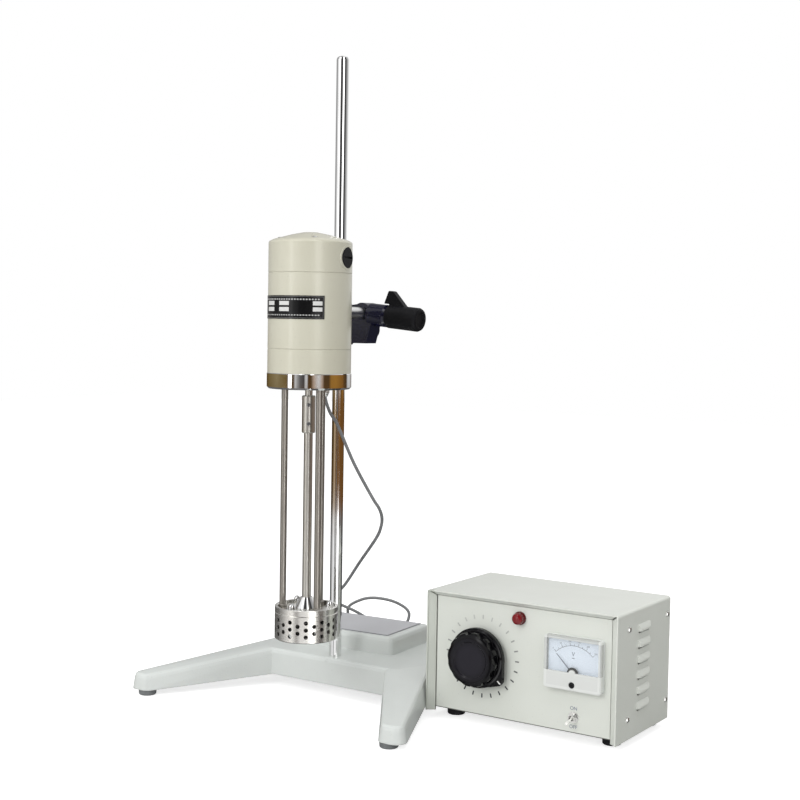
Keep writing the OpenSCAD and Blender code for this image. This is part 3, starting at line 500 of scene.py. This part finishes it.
def moulding(name, colour, mottle, grain, depth, gloss, shine, radius=0.0005, face_sheen=None):
    """A moulded or dipped skin. With a middle, a front and a tone, it also paints a lighter sheen on the
    middle of a face.
    """
    plastic = Finish(name, IOR=1.5, Specular_IOR_Level=shine, Coat_Roughness=0.06)
    clouds = plastic.cloud(plastic.place, 0.014, 4.0)
    fine = plastic.cloud(plastic.place, grain, 2.0)
    rounded = plastic.round_edges(radius)
    edge = plastic.edge(rounded)
    tone = plastic.mix(clouds.over(0.52, 0.3), colour, mottle)
    # Painted sheen: the middle of the face is painted lighter, standing in for the reflection it shows.
    if face_sheen:
        middle, front, sheen_tone = face_sheen
        x, y, z = plastic.axes(plastic.place)
        across, up = x - middle.x, z - middle.z
        from_middle = (across * across + up * up).root()
        face = (1 - y.over(front, 0.0008)) * (1 - from_middle.over(sheen_radius, sheen_fade))
        tone = plastic.mix(face, tone, sheen_tone)
    lighter = tuple(min(1.0, value * 1.7 + 0.012) for value in colour[:3]) + (1.0,)
    plastic.feed(Base_Color=plastic.mix(edge * 0.5, tone, lighter),
                 Roughness=gloss + (clouds - 0.5) * 0.12 + (fine - 0.5) * 0.10)
    plastic.bump(fine, depth, rounded)
    return plastic


case_plastic = moulding("case_plastic", seen(18, 18, 20), seen(25, 25, 27),
                        grain=0.0006, depth=0.00003, gloss=0.40, shine=0.20)
dress(case_plastic, "meter_screw", "pilot_body", "fuse_holder", "rear_glands", "cooling_fan",
      "carbon_brushes")
dress(moulding("grip_plastic", seen(15, 15, 18), seen(20, 20, 23),
               grain=0.0007, depth=0.00006, gloss=0.46, shine=0.16),
      "bar_clamp", "column_clamp", "brush_caps")
dress(moulding("pale_plastic", seen(222, 225, 224), seen(216, 219, 218),
               grain=0.0006, depth=0.00002, gloss=0.35, shine=0.5), "meter_case")
dress(moulding("lever_sleeve", seen(238, 238, 233), seen(232, 232, 227),
               grain=0.0006, depth=0.00001, gloss=0.3, shine=0.5), "toggle_lever")
dress(moulding("needle_paint", seen(120, 126, 136), seen(128, 134, 144),
               grain=0.0006, depth=0.00001, gloss=0.5, shine=0.3, radius=0.0001), "meter_needle")

# %% Bakelite, navy enamel and rubber
knob_axis = on_panel(65, 74.8)
knob_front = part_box("speed_knob")[0].y
face_depth = 0.0016
# The third colour of the knob is a painted sheen on the middle of its face.
dress(moulding("bakelite", seen(4, 4, 6), seen(7, 6, 9),
               grain=0.0009, depth=0.000006, gloss=0.11, shine=0.20, radius=0.0014,
               face_sheen=(knob_axis, knob_front + face_depth, seen(36, 34, 42))), "speed_knob")
dress(moulding("navy_enamel", seen(14, 14, 38), seen(18, 18, 44),
               grain=0.0025, depth=0.00005, gloss=0.10, shine=0.40, radius=0.0008), "boss_head")
dress(moulding("foot_rubber", seen(104, 107, 108), seen(116, 119, 120),
               grain=0.0005, depth=0.00004, gloss=0.72, shine=0.3), "base_feet")
dress(moulding("black_rubber", seen(20, 20, 23), seen(28, 28, 31),
               grain=0.0005, depth=0.00004, gloss=0.60, shine=0.2), "controller_feet")

# %% [markdown]
# ## What turns and hums inside
#
# The motor and the speed box are closed, but their insides are there: laminated iron, enamelled copper wire
# and turned brass. Iron gets the lines of its stacked sheets, copper the lines of its wire.

# %% Iron, copper and brass


def stacked(name, colour, gap, pitch, gloss):
    """Metal in thin layers, one above the other."""
    metal = Finish(name, Metallic=1.0)
    height = metal.axes(metal.place)[2]
    groove = (height * (2 * pi / pitch)).sine().over(0.55, 0.5)
    stain = metal.cloud(metal.place, 0.02, 3.0)
    metal.feed(Base_Color=metal.mix(groove * 0.6 + stain * 0.2, colour, gap),
               Roughness=gloss + (stain - 0.5) * 0.2)
    metal.bump(1 - groove, 0.00008)
    return metal


dress(stacked("stacked_iron", (0.30, 0.30, 0.31, 1), (0.10, 0.10, 0.11, 1), pitch=0.0010, gloss=0.5),
      "field_core", "armature", "variac_core", "coupling_screws")
dress(stacked("wound_copper", (0.60, 0.26, 0.11, 1), (0.28, 0.10, 0.04, 1), pitch=0.0014, gloss=0.35),
      "field_coils", "commutator", "variac_winding")
dress(stacked("turned_brass", (0.66, 0.48, 0.20, 1), (0.50, 0.34, 0.13, 1), pitch=0.0008, gloss=0.3),
      "brush_holders", "variac_arm")

# %% [markdown]
# ## The cord's sheath
#
# The sheath is dull grey plastic with a slight grain and a little dust.

# %% Sheath
sheath = Finish("cord_sheath", IOR=1.48)
sheath_dust = sheath.cloud(sheath.place, 0.02, 3.0)
sheath_grain = sheath.cloud(sheath.place, 0.0008, 1.0)
sheath.feed(Base_Color=sheath.mix(sheath_dust.over(0.5, 0.4), seen(112, 113, 115), seen(126, 127, 128)),
            Roughness=0.5 + (sheath_dust - 0.5) * 0.2)
sheath.bump(sheath_grain, 0.00003)
motor_lead.data.materials.append(sheath.material)
print("sheath on", motor_lead.name)

# %% [markdown]
# ## The nameplate
#
# A black plate is bent round the motor. Its wording is left off: a thin bright border, two rows of dashes
# and blank fields for someone to stamp are all it holds. The plate is curved, so the drawing is made on a
# coordinate that runs round the motor, the angle from the front times the radius, and on the height.

# %% Nameplate
plate_radius, plate_middle = 0.0445, 0.012
field_rows, field_height = (0.0078, 0.0140), 0.0042
field_spans = ((-0.028, -0.014), (-0.006, 0.0065), (0.032, 0.042))
border_run, border_rise, border_width = 0.0430, 0.0110, 0.0003
dash_rows, dash_pitch, dash_end = ((0.0034, 0.0046), (0.0194, 0.0208)), 0.0031, 0.0395
sharp, soft = 0.0002, 0.0003
plate = Finish("nameplate", IOR=1.5, Specular_IOR_Level=0.2, Coat_Roughness=0.05)
x, y, z = plate.axes(plate.place)
run = (x - motor_axis.x).bearing(motor_axis.y - y) * plate_radius
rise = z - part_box("nameplate")[0].z
aside, off_middle = abs(run), abs(rise - plate_middle)
fields = 0.0
for row in field_rows:
    for start, end in field_spans:
        fields = run.within(start, end, soft) * rise.within(row, row + field_height, soft) + fields
inside = 1 - aside.over(border_run, sharp) - off_middle.over(border_rise, sharp)
outside = aside.over(border_run - border_width, sharp) + off_middle.over(border_rise - border_width, sharp)
line = outside * inside.over(0.5, 0.4)
dashes = (run * (2 * pi / dash_pitch)).sine().over(-0.25, 0.5) * (1 - aside.over(dash_end, 0.0004))
rules = (rise.within(*dash_rows[0], soft) + rise.within(*dash_rows[1], soft)) * dashes
bright = fields.over(0.5, 0.4) + line.over(0.5, 0.4) * 0.3 + rules * 0.7
plate_wear = plate.cloud(plate.place, 0.006, 4.0)
plate.feed(Base_Color=plate.mix(bright, seen(15, 15, 16), seen(206, 206, 204)),
           Roughness=0.24 + bright * 0.18 + (plate_wear - 0.5) * 0.15, Coat_Weight=0.06 - bright * 0.04)
plate.bump(bright, 0.00004)
dress(plate, "nameplate")

# %% [markdown]
# ## The plate on the base
#
# A thin grey film lies on the raised pad behind the column. Its rim is painted dark, a painted shadow along
# its edge, and it is otherwise bare.
# The pad is turned a little, so the rim is measured along and across it.

# %% Base plate
film_lean = radians(3.5)
half_length, half_width, rim_width = 0.0576, 0.0388, 0.0011
film = Finish("base_film", IOR=1.45, Coat_Roughness=0.3)
film_low, film_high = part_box("base_label")
film_middle = (film_low + film_high) / 2
x, y = film.axes(film.place)[:2]
along = (x - film_middle.x) * cos(film_lean) + (y - film_middle.y) * sin(film_lean)
across = (y - film_middle.y) * cos(film_lean) - (x - film_middle.x) * sin(film_lean)
to_rim = (half_length - abs(along)).least(half_width - abs(across))
# Painted shadow: the rim of the film is darkened like the shade along its edge.
rim_shadow = 1 - to_rim.over(rim_width, 0.0004)
film_tone = film.cloud(film.place, 0.03, 3.0)
film_grain = film.cloud(film.place, 0.0007, 2.0)
film_colour = film.mix(film_tone, seen(184, 185, 188), seen(178, 178, 182))
film.feed(Base_Color=film.mix(rim_shadow * 0.8, film_colour, seen(120, 121, 126)),
          Roughness=0.48 + (film_tone - 0.5) * 0.15, Coat_Weight=0.1 + film_tone * 0.1)
film.bump(film_grain, 0.00002)
dress(film, "base_label")

# %% [markdown]
# ## The lamp
#
# The pilot lamp has a deep red cap, with painted shade at its base, where the holder behind it keeps light
# out.

# %% Lamp cap
lens = Finish("lamp_cap", IOR=1.5, Specular_IOR_Level=0.3, Coat_Roughness=0.03)
behind_tip = lens.axes(lens.place)[1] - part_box("pilot_lens")[0].y
lens_depth = behind_tip.over(0.006, 0.010)
lens_swirl = lens.cloud(lens.place, 0.003, 2.0)
# Painted shade: the cap's colour darkens towards its base.
lens.feed(Base_Color=lens.mix(lens_depth * 0.8 + lens_swirl * 0.2, seen(118, 14, 22), seen(66, 8, 14)),
          Roughness=0.12 + lens_swirl * 0.08, Coat_Weight=0.3 + (lens_swirl - 0.5) * 0.2)
lens.bump(lens_swirl, 0.00004)
dress(lens, "pilot_lens")

# %% [markdown]
# ## The meter
#
# The meter's front is a clear moulding: almost nothing over the dial, and frosted over the movement below
# it. Alpha carries that, because it survives the export. The dial is a pale blue card.

# %% Meter window
pivot_rise, frost_rise, hub_radius = 0.0174, 0.0182, 0.0038
border_across, border_up = 0.0290, 0.0240
meter_low, meter_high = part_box("meter_window")
meter_middle = (meter_low + meter_high) / 2
clear = Finish("meter_clear", IOR=1.49, Base_Color=seen(216, 218, 215))
x, _, z = clear.axes(clear.place)
frost_grain = clear.cloud(clear.place, 0.0006, 2.0)
across, up = x - meter_middle.x, z - (meter_low.z + pivot_rise)
from_pivot = (across * across + up * up).root()
below_dial = 1 - (z - meter_low.z).over(frost_rise, 0.0008)
frost = below_dial.most(1 - from_pivot.over(hub_radius, 0.0006))
border = abs(across).over(border_across, 0.0008) + abs(z - meter_middle.z).over(border_up, 0.0008)
clear.feed(Alpha=(0.06 + border * 0.62 + frost * 0.86).over(0.5, 1.0),
           Roughness=0.05 + frost * 0.35 + frost_grain * 0.05)
clear.bump(frost_grain * frost, 0.00004)
dress(clear, "meter_window")

# %% Dial card
card = Finish("dial_card", IOR=1.4)
card_tone = card.cloud(card.place, 0.02, 3.0)
card_grain = card.cloud(card.place, 0.0004, 2.0)
card.feed(Base_Color=card.mix(card_tone, seen(224, 233, 243), seen(218, 227, 238)),
          Roughness=0.6 + (card_grain - 0.5) * 0.2)
card.bump(card_grain, 0.00001)
dress(card, "meter_dial")

# %% [markdown]
# ## Printing ink
#
# The marks on the panel, the dial and the knob are ink: dead flat, a tenth of a millimetre thick, and a
# little uneven where the screen left less of it. They are pieces of their own, so that they stay crisp close
# up. The ring round the knob is painted paler towards the top, a painted glare where the light floods it.

# %% Inks
# Where the painted glare on the ink starts, and how far up it grows.
glare_height, glare_length = on_panel(0, 81).z, 0.062


def ink(name, colour, thin, glare_tone=None):
    """Flat printing ink. With a glare tone, it is painted paler towards the top of the panel, a painted
    glare.
    """
    wet = Finish(name, IOR=1.45)
    patchy = wet.cloud(wet.place, 0.0015, 3.0)
    tone = wet.mix(patchy.over(0.6, 0.3) * 0.5, colour, thin)
    if glare_tone:
        height = wet.axes(wet.place)[2]
        tone = wet.mix(height.over(glare_height, glare_length), tone, glare_tone)
    wet.feed(Base_Color=tone, Roughness=0.55 + patchy * 0.15)
    return wet.material


# The grey ink's pale third colour is a painted glare towards the top of the ring.
grey_ink = ink("grey_ink", seen(40, 42, 46), seen(76, 78, 81), glare_tone=seen(184, 186, 181))
blue_ink = ink("blue_ink", seen(104, 112, 132), seen(140, 148, 162))
scale_ink = ink("scale_ink", seen(112, 118, 128), seen(150, 156, 165))
white_ink = ink("white_ink", seen(236, 236, 232), seen(214, 214, 210))
print("inks:", [each.name for each in (grey_ink, blue_ink, scale_ink, white_ink)])

# %% [markdown]
# ## A printed bar
#
# A tick is a bar with rounded ends. A plane is drawn out to its length and turned to face the front, its
# corners are rounded with a vertex bevel, and the flat shape is raised by the thickness of the ink.

# %% Bar of ink
corner_share = 0.36  # of the bar's width


def ink_bar(name, middle, length, width, thickness, lean):
    """A bar that faces the front, its length turned by lean degrees from +X towards +Z."""
    bpy.ops.object.select_all(action="DESELECT")
    bpy.ops.mesh.primitive_plane_add(size=1.0, location=middle)
    bar = bpy.context.object
    bar.name = name
    facing_front = Matrix.Rotation(radians(-lean), 4, "Y") @ Matrix.Rotation(radians(90), 4, "X")
    bar.rotation_euler = facing_front.to_euler()
    bar.scale = (length, width, 1.0)
    bpy.ops.object.transform_apply(location=True, rotation=True, scale=True)
    bpy.ops.object.mode_set(mode="EDIT")
    bpy.ops.mesh.select_all(action="SELECT")
    bpy.ops.mesh.bevel(offset=width * corner_share, segments=3, affect="VERTICES")
    bpy.ops.mesh.select_all(action="SELECT")
    bpy.ops.mesh.extrude_region_move(TRANSFORM_OT_translate={"value": (0, -thickness, 0)})
    bpy.ops.mesh.select_all(action="SELECT")
    bpy.ops.mesh.normals_make_consistent(inside=False)
    bpy.ops.object.mode_set(mode="OBJECT")
    return bar


def join_pieces(name, parts):
    """Makes one piece of several, with its place in its mesh."""
    select_only(*parts)
    if len(parts) > 1:
        bpy.ops.object.join()
    joined = bpy.context.object
    joined.name = name
    joined.data.name = name
    bpy.ops.object.transform_apply(location=True, rotation=True, scale=True)
    return joined


def finish_piece(piece, material, body):
    """Names the piece's finish and what it moves with."""
    piece.data.materials.clear()
    piece.data.materials.append(material)
    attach(piece, body)
    print(piece.name, len(piece.data.polygons), "faces on", body)


# %% [markdown]
# ## Ticks round the speed knob
#
# The speed is set against a ring of ticks. The first is modelled to the right of the ring's middle, and the
# ring is made of copies of it, each turned by one step more. They start at the lower left and run under the
# knob, up its right and over it to the left, where there is a gap of about three steps.

# %% Ticks
ring_middle = on_panel(65.8, 74.8)
ring_radius, tick_count, tick_step, start_turn = 0.0418, 22, 14.9, 134


def turned_about(middle, degrees):
    """A turn about a point of the panel, clockwise as seen from the front."""
    turn_in_place = Matrix.Rotation(radians(degrees), 4, "Y")
    return Matrix.Translation(middle) @ turn_in_place @ Matrix.Translation(-middle)


first_tick = ink_bar("tick", ring_middle + Vector((ring_radius, 0, 0)), length=0.0046, width=0.0015,
                     thickness=0.00012, lean=0)
ticks = []
for index in range(tick_count):
    select_only(first_tick)
    bpy.ops.object.duplicate(linked=False)
    tick = bpy.context.object
    tick.data.transform(turned_about(ring_middle, start_turn - index * tick_step))
    ticks.append(tick)
bpy.data.objects.remove(first_tick)
finish_piece(join_pieces("speed_ticks", ticks), grey_ink, "stand")

# %% [markdown]
# ## The mark on the knob
#
# A white line on the nose of the knob shows what it points at. It turns with the knob.

# %% Pointer line
nose_lean, nose_reach, nose_out = -38, 0.0352, 0.0115


def toward(lean):
    """One metre along the panel, turned by lean degrees from +X towards +Z."""
    return Vector((cos(radians(lean)), 0, sin(radians(lean))))


pointer = ink_bar("knob_mark", knob_axis + toward(nose_lean) * nose_reach + Vector((0, -nose_out, 0)),
                  length=0.0046, width=0.0014, thickness=0.00015, lean=nose_lean)
finish_piece(join_pieces("knob_mark", [pointer]), white_ink, "speed_knob")

# %% [markdown]
# ## Words by the switch
#
# ON and OFF are plain words. A text object gives the letters, is turned to face the front, and is made a
# mesh before its place is applied.

# %% ON and OFF
letter_thickness = 0.00010
capital_share = 0.7  # of the size of a line of text
word_height, words_at, word_out = 0.0036, 173.6, 0.05


def printed(name, words, middle, height):
    """Letters that face the front, their middle at a point and their capitals of this height."""
    bpy.ops.object.select_all(action="DESELECT")
    bpy.ops.object.text_add(location=middle, rotation=(radians(90), 0, 0))
    letters = bpy.context.object
    letters.data.body = words
    letters.data.size = height / capital_share
    letters.data.align_x, letters.data.align_y = "CENTER", "CENTER"
    letters.data.extrude = letter_thickness / 2
    bpy.ops.object.convert(target="MESH")
    letters = bpy.context.object
    letters.name = name
    bpy.ops.object.transform_apply(location=True, rotation=True, scale=True)
    return letters


switch_words = [printed("on", "ON", on_panel(words_at, 37.2, word_out), word_height),
                printed("off", "OFF", on_panel(words_at, 18.2, word_out), word_height)]
finish_piece(join_pieces("switch_words", switch_words), blue_ink, "stand")

# %% [markdown]
# ## The meter's scale
#
# The scale is an arc of ink on the card with short ticks and a few plain numbers. One end of the arc is a
# small bar, and the arc is spun from it about the needle's pivot.

# %% Arc of the scale
meter_across = 174.8
pivot = on_panel(meter_across, 73, 3.8)
scale_radius, scale_sweep = 0.0290, 90
arc_width, arc_thickness = 0.00045, 0.00012
bpy.ops.object.select_all(action="DESELECT")
bpy.ops.mesh.primitive_plane_add(size=1.0, location=pivot + Vector((scale_radius, -arc_thickness / 2, 0)))
arc = bpy.context.object
arc.scale = (arc_width, arc_thickness, 1.0)
bpy.ops.object.transform_apply(location=True, rotation=True, scale=True)
arc.data.transform(turned_about(pivot, -scale_sweep / 2))
bpy.ops.object.mode_set(mode="EDIT")
bpy.ops.mesh.select_all(action="SELECT")
bpy.ops.mesh.spin(steps=48, angle=radians(scale_sweep), center=pivot, axis=(0, 1, 0))
bpy.ops.mesh.select_all(action="SELECT")
bpy.ops.mesh.remove_doubles(threshold=0.000001)
bpy.ops.mesh.normals_make_consistent(inside=False)
bpy.ops.object.mode_set(mode="OBJECT")
arc_heights = [(vertex.co - pivot).z for vertex in arc.data.vertices]
print("arc from", round(min(arc_heights), 4), "to", round(max(arc_heights), 4), "over the pivot")

# %% Ticks and numbers of the scale
scale_steps, scale_start, volts_per_step = 10, 135, 25
long_tick, short_tick, number_radius = 0.0030, 0.0018, 0.0338
on_card = Vector((0, -letter_thickness / 2, 0))
marks = [arc]
for index in range(scale_steps + 1):
    lean = scale_start - index * scale_sweep / scale_steps
    numbered = index % 2 == 0
    reach = long_tick if numbered else short_tick
    marks.append(ink_bar("mark", pivot + toward(lean) * (scale_radius + reach / 2), length=reach,
                         width=0.00042, thickness=letter_thickness, lean=lean))
    if numbered:
        marks.append(printed("number", str(index * volts_per_step),
                             pivot + toward(lean) * number_radius + on_card, height=0.0016))
marks.append(printed("unit", "V", pivot + Vector((-0.001, 0, 0.0203)) + on_card, height=0.0042))
marks.append(ink_bar("rule", pivot + Vector((-0.001, 0, 0.0163)), length=0.0030, width=0.0007,
                     thickness=letter_thickness, lean=0))
finish_piece(join_pieces("meter_scale", marks), scale_ink, "stand")

# %% [markdown]
# ## The cover over the needle's pivot
#
# Behind the window a small black half-round hides the pivot. A cylinder is cut by a plane a little below its
# middle and closed, and its edges are rounded.

# %% Pivot cover
bpy.ops.object.select_all(action="DESELECT")
bpy.ops.mesh.primitive_cylinder_add(vertices=48, radius=0.0064, depth=0.0007, rotation=(radians(90), 0, 0),
                                    location=on_panel(meter_across, 74.2, 6.95))
pivot_cover = bpy.context.object
bpy.ops.object.transform_apply(location=True, rotation=True, scale=True)
bpy.ops.object.mode_set(mode="EDIT")
bpy.ops.mesh.select_all(action="SELECT")
bpy.ops.mesh.bisect(plane_co=on_panel(meter_across, 70.0), plane_no=(0, 0, 1), use_fill=True,
                    clear_inner=True)
bpy.ops.mesh.select_all(action="SELECT")
bpy.ops.mesh.bevel(offset=0.0002, segments=2, affect="EDGES", clamp_overlap=True)
bpy.ops.object.mode_set(mode="OBJECT")
bpy.ops.object.shade_smooth_by_angle(angle=radians(30))
finish_piece(join_pieces("pivot_cover", [pivot_cover]), case_plastic.material, "stand")

# %% [markdown]
# ## The bench
#
# The object stands on a white bench in front of white, in soft light from near the camera. The floor is
# white to the camera and keeps a soft shadow. A reflection looks through it, because the room of the next
# step holds a bench of its own for polished metal to show.

# %% Floor
bench_drop = 0.0004


def plain_grey(level):
    """A grey of this brightness."""
    return (level, level, level, 1)


def ray_kinds(tree):
    """Two masks: 1 where the camera looks, straight or through a clear piece, and 1 for a reflection."""
    kinds = tree.node("ShaderNodeLightPath").socket.node.outputs
    straight, through, mirrored = [Wire(tree, kinds[name]) for name in
                                   ("Is Camera Ray", "Is Transmission Ray", "Is Glossy Ray")]
    return straight + through, mirrored


bpy.ops.object.select_all(action="DESELECT")
bpy.ops.mesh.primitive_plane_add(size=9.0, location=(0, 0, -bench_drop))
bench = bpy.context.object
bench.name = "bench"
bench_paint = bpy.data.materials.new("bench_white")
bench_paint.use_nodes = True
bench_tree = Tree(bench_paint.node_tree)
bench_tree.nodes.clear()
camera_looks, mirrored = ray_kinds(bench_tree)
matt = bench_tree.node("ShaderNodeBsdfDiffuse", {}, {"Color": plain_grey(0.62)})
lift = bench_tree.node("ShaderNodeEmission", {}, {"Color": plain_grey(1), "Strength": 0.72})
lit = bench_tree.node("ShaderNodeAddShader", {}, {0: matt, 1: lift})
looked_at = bench_tree.node("ShaderNodeMixShader", {}, {0: camera_looks, 1: matt, 2: lit})
open_air = bench_tree.node("ShaderNodeBsdfTransparent")
bench_out = bench_tree.node("ShaderNodeMixShader", {}, {0: mirrored, 1: looked_at, 2: open_air})
bench_tree.links.new(bench_out.socket, bench_tree.nodes.new("ShaderNodeOutputMaterial").inputs["Surface"])
bench.data.materials.append(bench_paint)
print("bench:", bench.dimensions.xy[:], "m, with", len(bench_tree.nodes), "nodes")

# %% [markdown]
# ## The room
#
# Polished metal shows the room it stands in, so the world that a reflection sees has four belts. From the
# top they are a bright room with a dark figure by the camera, the mixed things that the flange shows, brown
# furniture just below the lens, and the pale bench under that. Each belt is a ramp round the room, from
# behind over the left to the front and on over the right. All other light is a plain grey, brighter in
# front than behind.

# %% World
world = bpy.data.worlds.new("room")
bpy.context.scene.world = world
world.use_nodes = True
room = Tree(world.node_tree)
room.nodes.clear()
camera_looks, mirrored = ray_kinds(room)
x, y, z = room.axes(room.node("ShaderNodeTexCoord", output="Generated"))
round_room = x.bearing(0 - y) / (2 * pi) + 0.5
glare, white, pale, grey, shade, dark = [plain_grey(level) for level in (3.5, 1.0, 0.62, 0.36, 0.13, 0.05)]
olive, straw, rose = (0.15, 0.10, 0.032, 1), (0.26, 0.20, 0.10, 1), (0.44, 0.33, 0.25, 1)
wood, brown, deep = (0.33, 0.16, 0.03, 1), (0.20, 0.09, 0.02, 1), (0.075, 0.042, 0.016, 1)
sand, bark = (0.44, 0.31, 0.20, 1), (0.15, 0.066, 0.017, 1)


def belt(*bearings):
    """A ramp round the room; a bearing is in degrees to the right of the front."""
    stops = [(bearing / 360 + 0.5, colour) for bearing, colour in bearings]
    return room.node("ShaderNodeValToRGB", {"stops": stops}, {0: round_room})


upper = belt((-180, white), (-150, pale), (-140, grey), (-64, grey), (-54, white), (-22, white),
             (-19, glare), (-13, glare), (-10, white), (2, white), (7, dark), (40, dark), (47, white),
             (55, glare), (62, glare), (72, white), (79, dark), (104, dark), (114, grey), (128, grey),
             (150, pale), (180, white))
flange = belt((-180, pale), (-150, deep), (-128, olive), (-118, deep), (-110, olive), (-60, straw),
              (-27, olive), (-22, deep), (-19, glare), (-13, glare), (-10, deep), (-5, deep), (0, pale),
              (5, grey), (13, shade), (24, dark), (28, pale), (32, pale), (35, deep), (43, deep), (50, rose),
              (64, pale), (73, rose), (79, deep), (93, deep), (100, wood), (115, wood), (142, brown),
              (152, deep), (160, deep), (168, pale))
middle = belt((-180, deep), (-62, deep), (-44, olive), (-34, sand), (-20, sand), (-8, straw), (0, bark),
              (70, brown), (95, bark), (160, bark), (172, deep))
lower = belt((-180, shade), (-150, shade), (-85, shade), (-62, grey), (-44, pale), (-20, white),
             (-12, white), (-5, grey), (6, grey), (14, white), (50, white), (55, glare), (66, glare),
             (72, pale), (84, shade), (98, shade), (110, grey), (122, shade), (150, shade), (165, dark))
reflected = lower
for edge, soft, above in ((-0.138, 0.016, middle), (-0.055, 0.012, flange), (-0.012, 0.016, upper)):
    reflected = room.mix(z.over(edge, soft), reflected, above)
front_share = 0.5 - y * 0.34 + x * 0.03 + z * 0.25
ambient = room.mix(front_share, plain_grey(0.31), plain_grey(0.93))
around, mirror, blank = [room.node("ShaderNodeBackground", {}, {"Color": colour, "Strength": 1.0})
                         for colour in (ambient, reflected, plain_grey(1))]
shown = room.node("ShaderNodeMixShader", {}, {0: mirrored, 1: around, 2: mirror})
shown = room.node("ShaderNodeMixShader", {}, {0: camera_looks, 1: shown, 2: blank})
room.links.new(shown.socket, room.nodes.new("ShaderNodeOutputWorld").inputs["Surface"])
print("room:", len(room.nodes), "nodes")

# %% [markdown]
# ## The lamps
#
# Three large soft lamps give the light its direction: a window by the camera, a ceiling and a weak one from
# the side. They are hidden from reflections, because the belts of the room already hold what shines.

# %% Lamps


def soft_lamp(name, place, aim, size, power):
    """A square lamp that looks at a point."""
    bpy.ops.object.select_all(action="DESELECT")
    bpy.ops.object.light_add(type="AREA", location=place)
    lamp = bpy.context.object
    lamp.name = name
    lamp.data.size = size
    lamp.data.energy = power
    lamp.rotation_euler = (Vector(aim) - Vector(place)).to_track_quat("-Z", "Y").to_euler()
    lamp.visible_glossy = False
    print(name, power, "W")


soft_lamp("window", place=(-0.15, -2.3, 1.35), aim=(0, 0, 0.3), size=1.4, power=26)
soft_lamp("ceiling", place=(0, -0.2, 2.4), aim=(0, 0, 0.2), size=2.2, power=17)
soft_lamp("side", place=(2.2, -0.5, 1.0), aim=(0, 0, 0.2), size=0.8, power=5)
bpy.context.scene.view_settings.view_transform = "Standard"

# %% [markdown]
# ## The end
#
